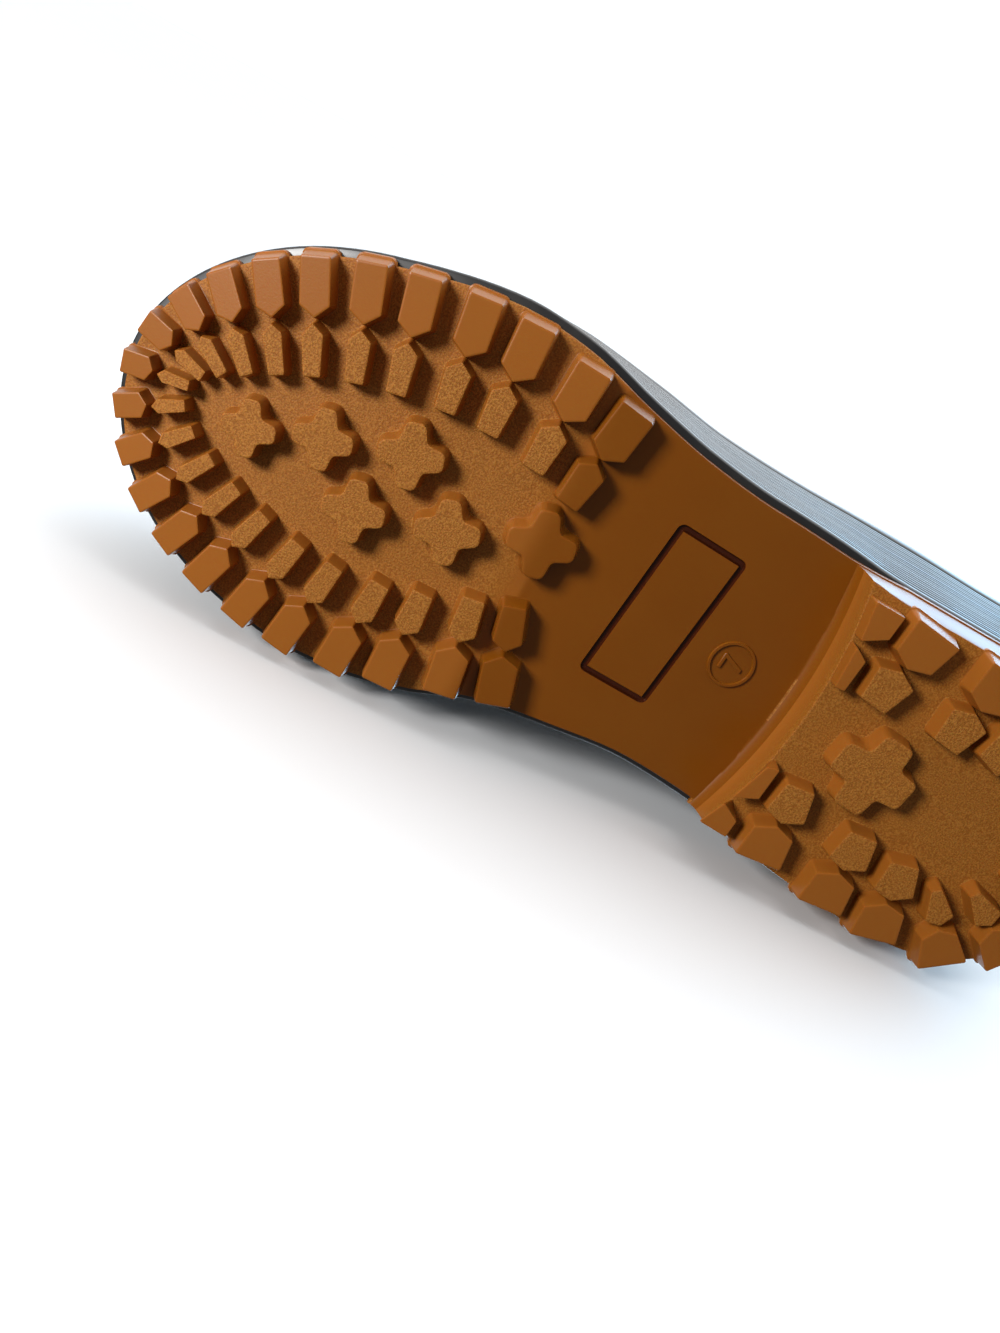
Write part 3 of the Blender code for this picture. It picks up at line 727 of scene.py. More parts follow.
@dataclass(frozen=True)
class Form:
    """Lines of the boot that its pieces share, and how it lies."""

    tread: Outline = Outline(0.0, 270.6, 40.0, 198.0, 2.2, 2.05, table(
        Section, (0.0, -2.2, 38.7), (50.0, -2.2, 38.7), (71.0, -1.2, 37.6), (89.0, 0.4, 36.2),
        (102.0, 2.0, 35.8), (122.0, 3.5, 35.3), (141.0, 3.8, 36.8), (160.0, 4.4, 39.8), (178.0, 3.1, 45.3),
        (196.0, 1.5, 48.3), (214.0, -0.4, 48.6), (240.0, -1.8, 48.6), (270.6, -3.6, 48.6)))
    rim: Outline = Outline(-3.0, 270.2, 44.0, 198.0, 2.2, 2.05, table(
        Section, (-3.0, 1.1, 43.8), (52.0, 1.1, 43.8), (74.0, 1.9, 43.5), (94.0, 2.5, 42.8),
        (114.0, 2.6, 42.3), (135.0, 2.8, 42.7), (156.0, 3.6, 44.4), (178.0, 2.8, 47.0), (196.0, 1.6, 48.4),
        (214.0, 0.3, 48.6), (240.0, -1.8, 48.6), (270.6, -3.4, 48.6)))
    seat: tuple = table(
        Level, (0.0, 18.0), (88.0, 17.6), (102.0, 16.2), (122.0, 13.2), (141.0, 10.4), (160.0, 8.4),
        (176.0, 7.6), (203.0, 7.6), (225.0, 8.5), (246.0, 10.8), (270.6, 16.0))
    rim_line: tuple = table(
        Level, (-3.0, 53.0), (52.0, 52.0), (94.0, 49.0), (114.0, 47.0), (156.0, 43.5), (196.0, 42.0),
        (235.0, 43.4), (270.2, 48.2))
    rings: tuple = table(
        Ring, (0.8, 53.0, 266.3, 48.0, 45.4, 0.00), (0.2, 56.0, 265.3, 53.8, 45.2, 0.00),
        (0.0, 59.0, 260.8, 60.0, 44.5, 0.03), (0.3, 63.0, 250.2, 65.4, 43.5, 0.08),
        (1.2, 68.0, 233.6, 70.8, 42.4, 0.15), (2.6, 75.0, 213.0, 78.5, 41.3, 0.26),
        (4.8, 83.0, 191.0, 87.5, 40.2, 0.42), (7.6, 93.0, 169.0, 99.0, 39.2, 0.62),
        (10.2, 105.0, 149.0, 112.0, 38.3, 0.82), (12.0, 120.0, 133.5, 126.0, 37.6, 0.96),
        (12.6, 137.0, 124.5, 141.0, 37.2, 1.00), (12.2, 155.0, 119.5, 156.0, 37.2, 1.00),
        (11.2, 174.0, 117.5, 169.0, 37.6, 1.00))
    wall: float = 2.4
    inset: float = 3.6
    gap: float = 0.3
    shaft_centre: float = -1.5
    swing_share: float = 0.6
    facets: int = 208
    tuck: float = 2.0
    tuck_x: tuple = (178.0, 222.0)
    pitch_deg: float = 1.982
    tilt_deg: float = -2.008
    heel_point_m: tuple = (0.134804, -0.086403, 0.042838)

    def seat_at(self, x: float) -> float:
        """Height of the sidewall's seat on the outsole."""
        return eased(self.seat, "z", x)

    def tucked(self, outline: Outline, offset: float) -> list[Vector]:
        """Loop of an outline moved outward, and drawn in under the lugs round the toe."""
        loops = outline.loop(offset, self.facets), outline.loop(offset - self.tuck, self.facets)
        return [p.lerp(q, between(p.x, *self.tuck_x)) for p, q in zip(*loops)]

    def ring_at(self, share: float) -> Ring:
        """Ring of the upper at a share of the way from rim to collar."""
        position = share * (len(self.rings) - 1)
        values = []
        for column in Ring._fields:
            rows = [Level(float(i), getattr(ring, column)) for i, ring in enumerate(self.rings)]
            values.append(eased(rows, "z", position))
        return Ring(*values)

    def upper_loop(self, share: float) -> list[Vector]:
        """Ring of the upper's outer face at a share of the way from rim to collar."""
        ring, base = self.ring_at(share), self.ring_at(0.0)
        widest = max(row.half for row in self.rim.rows)
        swing = max(0.0, 1.0 - share / self.swing_share) ** 2
        points = []
        for i in range(self.facets):
            angle = TURN * i / self.facets
            along = (1.0 + math.cos(angle)) / 2.0
            rim_x = self.rim.back + (self.rim.front - self.rim.back) * along
            footprint = eased(self.rim.rows, "half", rim_x) * self.rim.rounding(rim_x) / widest
            width = footprint + (abs(math.sin(angle)) - footprint) * ring.oval
            middle = mix(eased(self.rim.rows, "centre", rim_x), self.shaft_centre, ring.oval)
            rise = eased(self.rim_line, "z", rim_x) - mix(base.back_z, base.front_z, along)
            points.append(Vector((
                mix(ring.back_x, ring.front_x, along),
                middle + math.copysign(ring.half * width, math.sin(angle)),
                mix(ring.back_z, ring.front_z, along) + swing * rise)))
        return points

    def on_seat(self, loop: Sequence[Vector], rise: float = 0.0) -> list[Vector]:
        """Points of a plan at a height over the outsole, clear of it by the gap."""
        return [Vector((p.x, p.y, self.seat_at(p.x) + self.gap + rise)) for p in loop]

    def upper_foot(self) -> list[Vector]:
        """Lower edge of the upper's outer face, on the outsole."""
        return self.on_seat(self.tread.loop(-self.inset, self.facets))

    def matrix(self) -> Matrix:
        """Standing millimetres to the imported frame's metres."""
        onto_side = Matrix(((-1, 0, 0), (0, 0, 1), (0, 1, 0))).to_4x4()
        tilt = Matrix.Rotation(math.radians(self.tilt_deg), 4, "X")
        pitch = Matrix.Rotation(math.radians(self.pitch_deg), 4, "Y")
        return Matrix.Translation(self.heel_point_m) @ tilt @ pitch @ onto_side @ Matrix.Scale(MILLIMETRE, 4)

    def lay(self, thing: bpy.types.Object, sharp_deg: float) -> bpy.types.Object:
        """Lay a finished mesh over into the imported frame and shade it.

        Args:
            thing: object whose mesh stands, in millimetres.
            sharp_deg: angle past which an edge stays sharp.

        Returns:
            The object.
        """
        thing.data.transform(self.matrix())
        thing.data.shade_smooth()
        thing.data.set_sharp_from_angle(angle=math.radians(sharp_deg))
        return thing


class Track:
    """A closed loop that is measured along its length."""

    def __init__(self, loop: list[Vector]) -> None:
        """Measure the distance to each point, and right round to the first."""
        self.loop = loop
        self.marks = [0.0]
        for i, point in enumerate(loop):
            self.marks.append(self.marks[-1] + (loop[(i + 1) % len(loop)] - point).length)

    def at(self, distance: float) -> Vector:
        """Point at a distance along the loop."""
        distance %= self.marks[-1]
        k = max(i for i in range(len(self.loop)) if self.marks[i] <= distance)
        share = (distance - self.marks[k]) / (self.marks[k + 1] - self.marks[k])
        return self.loop[k].lerp(self.loop[(k + 1) % len(self.loop)], share)

    def passing(self, outer_x: float, inner_x: float) -> list[float]:
        """Distances where the outer side and then the inner side pass a place along the boot."""
        loop, half = self.loop, len(self.loop) // 2
        found = []
        for side, x in ((range(half), outer_x), (range(half, len(loop) - 1), inner_x)):
            i = next(i for i in side if (loop[i].x - x) * (loop[i + 1].x - x) <= 0.0)
            found.append(mix(self.marks[i], self.marks[i + 1], (x - loop[i].x) / (loop[i + 1].x - loop[i].x)))
        return found


@dataclass
class Outsole:
    """Gum outsole: plate with arch and toe spring, heel, lugs, cleats and a framed waist."""

    # How sandy each face is; the groove's value paints the groove near-black, and unsanded waist faces take a
    # darker colour: both painted shade.
    GRAIN = "grain"
    GROOVE_SHADE_GRAIN = -1.0

    form: Form
    finish: GumFinish = field(default_factory=GumFinish)
    sharp_deg: float = 38.0
    sand_x: float = 150.0
    floor_grain: float = 0.8
    smooth_grain: float = 0.12
    plate: float = 2.2
    plate_round: float = 0.5
    columns: int = 16
    lug_height: float = 5.4
    lug_root: float = 1.0
    edge_root: float = 1.9
    draft: float = 0.8
    fillet: float = 0.35
    support: float = 0.25
    foot_round: float = 0.5
    foot_sink: float = 0.04
    corner: float = 0.6
    corner_steps: int = 3
    ground_facing: float = -0.6
    pair_groups: int = 4
    tip_gap: float = 1.0
    slip: float = 0.3
    shoulder: float = 0.80
    edge_inset: float = 0.5
    inner_lean: float = 1.1
    outer_lean: float = 1.7
    lug_count: int = 23
    lug_start: float = 156.5
    lug_end: float = 162.7
    pitch_toe: float = 10.7
    pitch_waist: float = 14.5
    pair_shift: float = 1.5
    toe_spread: float = 2.9
    outer_lug: LugSize = LugSize(13.0, 5.2, 8.6, 5.4)
    inner_lug: LugSize = LugSize(11.4, 3.2, 5.8, 2.4)
    inner_widest: float = 1.22
    inner_aim: AimLine = AimLine(167.5, 0.66)
    outer_aim: AimLine = AimLine(163.6, 0.70)
    flare: float = 1.7
    flare_x: tuple = (84.0, 100.0)
    heel_inset: float = 0.4
    heel_sink: float = 0.25
    heel_root: float = 1.3
    heel_floor_facing: float = -0.9
    breast_facing: float = 0.3
    breast_top: BreastLine = BreastLine(90.2, 0.0, 0.0043)
    breast_foot: BreastLine = BreastLine(95.0, 0.0, 0.0027)
    breast_steps: int = 40
    breast_shares: tuple = (0.25, 0.5, 0.7, 0.85, 0.94, 0.98, 1.0)
    breast_grain: tuple = (0.7, 0.5, 0.3, 0.1)
    heel_start: float = 91.5
    heel_lug_inset: float = 0.6
    heel_lean: float = 1.2
    heel_outer_arcs: tuple = (13.7, 34.2, 50.3, 69.0, 86.0, 103.0)
    heel_inner_arcs: tuple = (11.6, 32.0, 48.8, 69.0, 86.0, 103.0)
    heel_outer: LugPlan = LugPlan(10.8, 12.4, 10.6)
    heel_outer_back: LugPlan = LugPlan(10.8, 12.4, 8.8)
    heel_inner: LugPlan = LugPlan(10.4, 7.4, 10.4)
    heel_inner_back: LugPlan = LugPlan(10.4, 2.7, 7.1)
    heel_back_x: float = 30.0
    heel_turn_x: float = 53.5
    heel_turn_step: float = 4.0
    bar_front: BreastLine = BreastLine(90.9, -0.06, 0.005)
    bar_root: float = 0.4
    bar_end: float = 0.3
    bar_soft: float = 0.1
    bar_flush: float = 0.37
    bar_rings: tuple = (0.0, 0.37, 0.7, 1.0)
    bars: tuple = table(
        BarPlace, (33.8, 24.0, 33.8, 27.6, 86.8), (22.8, 12.0, 20.6, 12.2, 88.2),
        (-33.4, -26.0, -33.8, -28.8, 90.6), (-24.0, -12.8, -21.0, -11.9, 89.4))
    cleats: tuple = table(
        CleatPlace, (236.0, -3.5, -15.0, 6.8, LugKind.CLEAT), (220.2, 3.0, -15.0, 7.3, LugKind.CLEAT),
        (201.4, 9.7, -17.0, 7.9, LugKind.CLEAT), (207.0, -7.8, -15.0, 7.7, LugKind.CLEAT),
        (186.3, -1.4, -20.0, 8.0, LugKind.CLEAT), (166.4, 6.8, -14.0, 8.4, LugKind.CLEAT_SMOOTH),
        (69.8, -2.1, 4.0, 11.1, LugKind.HEEL_CLEAT))
    cleat_size: float = 8.0
    cleat_lobe_deg: float = 16.0
    heel_cleat_size: float = 11.1
    heel_cleat_lobe_deg: float = 21.0
    cleat_notch: float = 0.58
    cleat_corner: float = 1.6
    frame_middle: tuple = (132.0, 4.2)
    frame_size: tuple = (17.8, 41.0)
    frame_turn: float = 3.3
    frame_line: float = 1.7
    frame_corner: float = 0.9
    frame_steps: int = 4
    frame_profile: tuple = ((0.5, -1.0), (0.5, 0.0), (0.28, 0.8), (-0.28, 0.8), (-0.5, 0.0), (-0.5, -1.0))
    ring_middle: tuple = (110.3, 1.7)
    ring_radius: float = 5.6
    ring_line: float = 1.0
    ring_facets: int = 64
    ring_profile: tuple = ((-0.6, 0.4), (-0.5, 0.0), (-0.3, -0.6), (0.3, -0.6), (0.5, 0.0), (0.6, 0.4))
    numeral: tuple = (
        ((2.1, -2.0), (3.0, -2.0), (3.0, 2.1), (2.1, 2.1)),
        ((2.5, 1.1), (2.5, 2.1), (-3.0, -0.1), (-3.0, -1.2)))
    numeral_corner: float = 0.2
    numeral_steps: int = 2
    numeral_profile: tuple = ((-0.12, -0.6), (0.0, -0.48), (0.1, 0.4))

    def floor_at(self, x: float) -> float:
        """Height of the tread's floor."""
        return self.form.seat_at(x) - self.plate

    def on_floor(self, loop: Sequence[Vector], rise: float) -> list[Vector]:
        """Points of a plan at a height over the tread's floor, into the plate where positive."""
        return [Vector((p.x, p.y, self.floor_at(p.x) + rise)) for p in loop]

    def grained(self, name: str, shell: Shell, grain: Callable) -> bpy.types.Object:
        """Make an object whose material reads how sandy each face is, by a function of the face; unsanded
        faces in the waist take painted shade, and the groove value paints the groove near-black as painted
        shade.
        """
        thing = new_object(name, shell)
        set_layer(thing, self.GRAIN, "FLOAT", "FACE", [grain(face) for face in thing.data.polygons])
        return thing

    def edge_loop(self, offset: float, share: float) -> list[Vector]:
        """Outline of the gum, with a share of the flare of the heel's sides."""
        straight = self.form.tucked(self.form.tread, offset)
        flared = self.form.tread.loop(offset + self.flare * share, self.form.facets)
        return [p.lerp(q, between(p.x, *self.flare_x[::-1])) for p, q in zip(straight, flared)]

    def plate_shell(self) -> Shell:
        """Plate with a rounded lower edge."""
        steps = *rounded_edge(self.plate_round), (0.0, self.plate)
        rings = [self.on_floor(self.edge_loop(offset, 1.0), rise) for offset, rise in steps]
        return stacked(rings, self.columns)

    def heel_plan(self, share: float) -> list[Vector]:
        """Plan of the heel at a share of the way from the floor of its tread up to the plate."""
        loops = self.edge_loop(-self.heel_inset, 0.0), self.edge_loop(-self.heel_inset, share)
        side = [edge for low, edge in zip(*loops) if low.x < self.breast_top.at(low.y) - self.heel_inset]
        drawn = 1.0 - math.sqrt(1.0 - share * share)
        across = [mix(side[-1].y, side[0].y, k / self.breast_steps) for k in range(self.breast_steps + 1)]
        return side + [Vector((mix(self.breast_top.at(y), self.breast_foot.at(y), drawn), y)) for y in across]

    def heel_object(self) -> bpy.types.Object:
        """Heel from the plate to its tread's floor, with a hollow breast that is sandy near the ground."""
        rings = [lifted(offset_loop(self.heel_plan(0.0), offset), self.lug_height + rise)
                 for offset, rise in rounded_edge(self.plate_round)]
        for share in self.breast_shares:
            rings.append([Vector((p.x, p.y, mix(self.lug_height, self.floor_at(p.x) + self.heel_sink, share)))
                          for p in self.heel_plan(share)])
        rings.append(self.on_floor(rings[-1], self.heel_root))

        def grain(face: bpy.types.MeshPolygon) -> float:
            """Sand of the heel's floor and of the breast, none on its sides."""
            if face.normal.z < self.heel_floor_facing:
                return self.floor_grain
            level = min(face.vertices) // len(rings[0]) - 1
            sandy = face.normal.x > self.breast_facing and 0 <= level < len(self.breast_grain)
            return self.breast_grain[level] if sandy else 0.0

        return self.grained("heel", stacked(rings), grain)

    def lug_rings(self, root: float) -> list[tuple[float, float]]:
        """Growth and height of a lug's rings, from its ground face up to its root, with a soft foot."""
        foot = self.foot_round * SOFT
        top, sunk = self.lug_height + root, self.lug_height + self.foot_sink
        side = self.draft * (sunk - self.foot_round) / top
        return [(-self.fillet - self.support, 0.0), *rounded_edge(self.fillet),
                (side, sunk - self.foot_round), (side + foot, sunk - foot),
                (side + self.foot_round, sunk), (side + self.foot_round, top)]

    def lug_shell(self, shape: LugShape, corner: float, root: float) -> Shell:
        """Tapered lug with rounded edges.

        Args:
            shape: its ground face, counter-clockwise with its flat end at zero, and the lean of that end.
            corner: radius of its rounded corners.
            root: how far it reaches into the plate.

        Returns:
            Vertices and faces.
        """
        rings = []
        for grow, rise in self.lug_rings(root):
            moved = shape.lean * rise / (self.lug_height + root)
            plan = [Vector((x - moved if x == 0.0 else x, y)) for x, y in shape.corners]
            radius = max(self.fillet, corner + grow)
            rings.append(lifted(rounded_corners(plan, grow, radius, self.corner_steps), rise))
        return stacked(rings)

    def cleat_plan(self, size: float, lobe_deg: float) -> list[tuple[float, float]]:
        """Plan of a cleat whose four lobes have flat ends."""
        points = []
        for k in range(4):
            for degrees, share in ((-lobe_deg, 1.0), (lobe_deg, 1.0), (45.0, self.cleat_notch)):
                reach, angle = size * share, math.radians(90.0 * k + degrees)
                points.append((reach * math.cos(angle), reach * math.sin(angle)))
        return points

    def pointing_in(self, length: float, flat: float, wide: float) -> list[tuple[float, float]]:
        """Plan of a lug whose flat end is at the edge and whose point is inward."""
        neck, flat, wide = length * self.shoulder, flat / 2.0, wide / 2.0
        return [(0.0, -flat), (neck, -wide), (length, 0.0), (neck, wide), (0.0, flat)]

    def pointing_out(self, length: float, flat: float, wide: float) -> list[tuple[float, float]]:
        """Plan of a lug whose point faces the edge and whose flat end is inward."""
        neck, flat, wide = length * (1.0 - self.shoulder), flat / 2.0, wide / 2.0
        return [(0.0, 0.0), (neck, -wide), (length, -flat), (length, flat), (neck, wide)]

    def lug_grain(self, ground: float) -> Callable:
        """Grain of a lug's faces: its own on the ground face, and smooth on its walls."""
        return lambda face: ground if face.normal.z < self.ground_facing else self.smooth_grain

    def lug_shapes(self) -> bpy.types.Collection:
        """One object for each kind of lug, in a collection that isn't shown."""
        smooth, sandy = self.smooth_grain, 1.0
        outer, inner = self.outer_lug, self.inner_lug
        edge_lean = (self.inner_lean + self.outer_lean) / 2.0 - self.draft
        heel_lean = self.heel_lean - self.draft
        outer_plan = self.pointing_in(outer.length, outer.width, outer.width)
        inner_plan = self.pointing_out(inner.length, inner.width, inner.width * self.inner_widest)
        cleat = self.cleat_plan(self.cleat_size, self.cleat_lobe_deg)
        heel_cleat = self.cleat_plan(self.heel_cleat_size, self.heel_cleat_lobe_deg)
        kinds = {
            LugKind.OUTER: LugShape(outer_plan, smooth, edge_lean),
            LugKind.INNER: LugShape(inner_plan, sandy),
            LugKind.INNER_SMOOTH: LugShape(inner_plan, smooth),
            LugKind.HEEL_OUTER: LugShape(self.pointing_in(*self.heel_outer), smooth, heel_lean),
            LugKind.HEEL_OUTER_BACK: LugShape(self.pointing_in(*self.heel_outer_back), smooth, heel_lean),
            LugKind.HEEL_INNER: LugShape(self.pointing_out(*self.heel_inner), sandy),
            LugKind.HEEL_INNER_BACK: LugShape(self.pointing_out(*self.heel_inner_back), sandy),
            LugKind.CLEAT: LugShape(cleat, sandy),
            LugKind.CLEAT_SMOOTH: LugShape(cleat, smooth),
            LugKind.HEEL_CLEAT: LugShape(heel_cleat, sandy)}
        rounder = (LugKind.CLEAT, LugKind.CLEAT_SMOOTH, LugKind.HEEL_CLEAT)
        shapes = bpy.data.collections.new("lug_shapes")
        for kind, shape in kinds.items():
            corner = self.cleat_corner if kind in rounder else self.corner
            root = self.edge_root if kind is LugKind.OUTER else self.lug_root
            shell = self.lug_shell(shape, corner, root)
            thing = self.grained(f"lug_shape_{kind.value}", shell, self.lug_grain(shape.grain))
            bpy.context.scene.collection.objects.unlink(thing)
            shapes.objects.link(thing)
        return shapes

    def pair(self, edge: Vector, aim: Vector, reach: Sequence[float], kinds: Sequence[LugKind],
             scales: Sequence[tuple]) -> list[LugPlace]:
        """Set an outer lug at the edge of the sole and an inner one behind it, point to point.

        Args:
            edge: point at the edge of the sole.
            aim: point that both lugs run towards.
            reach: how far in from the edge the outer lug stands, and its length.
            kinds: shapes of the two lugs.
            scales: scales of the two lugs.

        Returns:
            The two placed lugs.
        """
        inward = (aim - edge).normalized()
        across = Vector((-inward.y, inward.x))
        angle = math.atan2(inward.y, inward.x)
        ends = edge + inward * reach[0], edge + inward * (sum(reach) + self.tip_gap) + across * self.slip
        return [LugPlace(end, angle, scale, kind) for end, scale, kind in zip(ends, scales, kinds)]

    def forefoot_places(self) -> list[LugPlace]:
        """Pairs of lugs from the inner waist round the toe to the outer waist."""
        track = Track(self.form.tread.loop(-self.edge_inset, self.form.facets))
        end, start = track.passing(self.lug_end, self.lug_start)
        start -= track.marks[-1]
        last = self.lug_count - 1
        middle = last / 2.0
        steps = []
        for k in range(last):
            side = abs(k + 0.5 - middle) / middle
            shift = self.pair_shift * (-1.0) ** (min(k, last - 1 - k) + 1)
            steps.append(mix(self.pitch_toe, self.pitch_waist + shift, side ** 2))
        stretch = (end - start) / sum(steps)
        places = []
        for k in range(self.lug_count):
            edge = track.at(start + stretch * sum(steps[:k]))
            aimed = self.outer_aim if edge.y > 0.0 else self.inner_aim
            aim = Vector((aimed.x + aimed.rate * (edge.x - self.lug_start), 0.0))
            toe = math.exp(-((k - middle) / self.toe_spread) ** 2)
            side = abs(k - middle) / middle
            reach = mix(self.inner_lean, self.outer_lean, k / last), self.outer_lug.length_at(toe)
            kinds = LugKind.OUTER, LugKind.INNER if 0 < k < last else LugKind.INNER_SMOOTH
            scales = self.outer_lug.scale(toe, side), self.inner_lug.scale(toe, side)
            places += self.pair(edge, aim, reach, kinds, scales)
        return places

    def heel_places(self) -> list[LugPlace]:
        """Pairs of lugs from each end of the breast to the back of the heel."""
        track = Track(self.form.tread.loop(-self.heel_lug_inset, self.form.facets))
        outer_end, inner_end = track.passing(self.heel_start, self.heel_start)
        arcs = [outer_end + step for step in self.heel_outer_arcs]
        arcs += [inner_end - step for step in self.heel_inner_arcs]
        places = []
        for arc in arcs:
            edge = track.at(arc)
            aim_x = max(self.heel_turn_x, edge.x + self.heel_turn_step)
            aim = Vector((aim_x, eased(self.form.tread.rows, "centre", edge.x)))
            kinds = LugKind.HEEL_OUTER, LugKind.HEEL_INNER
            if edge.x < self.heel_back_x:
                kinds = LugKind.HEEL_OUTER_BACK, LugKind.HEEL_INNER_BACK
            places += self.pair(edge, aim, (self.heel_lean, self.heel_outer.length), kinds, (WHOLE, WHOLE))
        return places

    def cleat_places(self) -> list[LugPlace]:
        """The cleats down the middle of the tread."""
        places = []
        for row in self.cleats:
            scale = row.size / (self.heel_cleat_size if row.kind is LugKind.HEEL_CLEAT else self.cleat_size)
            middle, angle = Vector((row.x, row.y)), math.radians(row.turn)
            places.append(LugPlace(middle, angle, (scale, scale, 1.0), row.kind))
        return places

    def tread_tree(self) -> NodeTree:
        """Tree that stands a lug of the right shape on each point."""
        tree = NodeTree("tread_lugs")
        shapes = tree.ask("Shapes", "NodeSocketCollection")
        picked = tree.graph.node("GeometryNodeCollectionInfo", {"transform_space": "ORIGINAL"}, {
            "Collection": shapes, "Separate Children": True, "Reset Children": True})
        turn = tree.graph.node("ShaderNodeCombineXYZ", inputs={"Z": tree.attribute("turn", "FLOAT")})
        lugs = tree.graph.node("GeometryNodeInstanceOnPoints", inputs={
            "Points": tree.geometry, "Instance": picked, "Pick Instance": True,
            "Instance Index": tree.attribute("kind", "INT"), "Rotation": turn,
            "Scale": tree.attribute("scale", "FLOAT_VECTOR")})
        tree.close(lugs)
        return tree

    def lugs(self, places: Sequence[LugPlace], material: bpy.types.Material) -> bpy.types.Object:
        """Lugs or cleats at their places on the tread's bent floor."""
        points = new_object("lugs", (lifted([place.at for place in places], 0.0), []))
        set_layer(points, "turn", "FLOAT", "POINT", [place.angle for place in places])
        set_layer(points, "kind", "INT", "POINT", [place.kind.value for place in places])
        set_layer(points, "scale", "FLOAT_VECTOR", "POINT", [s for place in places for s in place.scale])
        shapes = self.lug_shapes()
        made = self.tread_tree().run(points, Shapes=shapes, Material=material)
        discard(list(shapes.objects))
        bpy.data.collections.remove(shapes)
        for vertex in made.data.vertices:
            if vertex.co.x > self.breast_foot.at(vertex.co.y):
                vertex.co.z += self.floor_at(vertex.co.x) - self.lug_height
        return made

    def bar_plan(self, row: BarPlace, share: float) -> list[Vector]:
        """Plan of a bar at a share of the way from the ground to its root in the plate."""
        side = math.copysign(1.0, row.start)
        flush = min(1.0, share / self.bar_flush)

        def front(y: float) -> float:
            """Front of the bar at a place across the heel, flush with the top of the breast."""
            return mix(self.bar_front.at(y), self.breast_top.at(y) - self.heel_inset, flush)

        grow, end = share * self.draft, share * self.bar_end
        back = row.back - grow
        corners = [(front(row.start), row.start + side * end), (front(row.tip), row.tip - side * grow),
                   (back, row.back_tip - side * grow), (back, row.back_start + side * end)]
        return [Vector(corner) for corner in (corners[::-1] if side > 0.0 else corners)]

    def bar_shell(self, row: BarPlace) -> Shell:
        """Bar at the breast with a pointed end, the first lug of its row."""
        ground = self.bar_plan(row, 0.0)
        rings = [lifted(rounded_corners(ground, offset, self.fillet, self.corner_steps), rise)
                 for offset, rise in rounded_edge(self.fillet)[:2]]
        for share in self.bar_rings:
            plan = self.bar_plan(row, share)
            loop = rounded_corners(plan, 0.0, self.fillet + self.bar_soft, self.corner_steps)
            rings.append([Vector((p.x, p.y, mix(self.fillet, self.floor_at(p.x) + self.bar_root, share)))
                          for p in loop])
        return stacked(rings)

    def frame_cutter(self) -> Shell:
        """Cutter of the bare frame's groove on the waist, whose faces take painted shade: near-black."""
        width, height = self.frame_size
        turn = Matrix.Rotation(math.radians(self.frame_turn), 2)
        corners = [turn @ Vector((x * width / 2.0, y * height / 2.0)) + Vector(self.frame_middle)
                   for x, y in SQUARE]
        rings = []
        for share, rise in self.frame_profile:
            grow = share * self.frame_line
            loop = rounded_corners(corners, grow, self.frame_corner + grow, self.frame_steps)
            rings.append(self.on_floor(loop, rise))
        return looped(rings)

    def ring_shell(self) -> Shell:
        """Raised ring round the size number."""
        angles = [TURN * i / self.ring_facets for i in range(self.ring_facets)]
        rings = []
        for share, rise in self.ring_profile:
            reach = self.ring_radius + share * self.ring_line
            loop = [Vector(self.ring_middle) + reach * Vector((math.cos(a), math.sin(a))) for a in angles]
            rings.append(self.on_floor(loop, rise))
        return looped(rings)

    def numeral_shells(self) -> list[Shell]:
        """Raised 7 inside the ring, its top towards the toe."""
        shells = []
        for stroke in self.numeral:
            corners = [Vector(self.ring_middle) + Vector(point) for point in stroke]
            loops = [(rounded_corners(corners, grow, self.numeral_corner, self.numeral_steps), rise)
                     for grow, rise in self.numeral_profile]
            shells.append(stacked([self.on_floor(loop, rise) for loop, rise in loops]))
        return shells

    @staticmethod
    def joined(plate: bpy.types.Object, other: bpy.types.Object, operation: str) -> None:
        """Join another shape to the plate, or cut it out."""
        modifier = plate.modifiers.new(other.name, "BOOLEAN")
        modifier.operation = operation
        modifier.solver = "MANIFOLD"
        modifier.object = other
        applied(plate)
        discard([other])

    def build(self) -> bpy.types.Object:
        """Build and dress the outsole."""
        material = self.finish.material()
        # Plate faces behind sand_x carry no sand, so those in the waist take the darker painted shade.
        sole = self.grained("outsole_tread", self.plate_shell(),
                            lambda face: self.floor_grain if face.center.x > self.sand_x else 0.0)
        sole.data.materials.append(material)
        pairs = self.forefoot_places() + self.heel_places()
        groups = [*(pairs[k::self.pair_groups] for k in range(self.pair_groups)), self.cleat_places()]
        relief = self.ring_shell(), *self.numeral_shells()
        shapes = [self.heel_object(), *(self.lugs(group, material) for group in groups)]
        shapes += [self.grained("bar", self.bar_shell(row), lambda face: self.smooth_grain)
                   for row in self.bars]
        shapes += [self.grained("relief", shell, lambda face: 0.0) for shell in relief]
        for shape in shapes:
            self.joined(sole, shape, "UNION")
        # The groove's faces carry the value that paints them near-black: painted shade in the groove.
        groove = self.grained("groove", self.frame_cutter(), lambda face: self.GROOVE_SHADE_GRAIN)
        self.joined(sole, groove, "DIFFERENCE")
        self.form.lay(sole, self.sharp_deg)
        sole.modifiers.new("weighted", "WEIGHTED_NORMAL").keep_sharp = True
        applied(sole)
        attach(sole, BODY)
        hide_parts("outsole")
        return sole


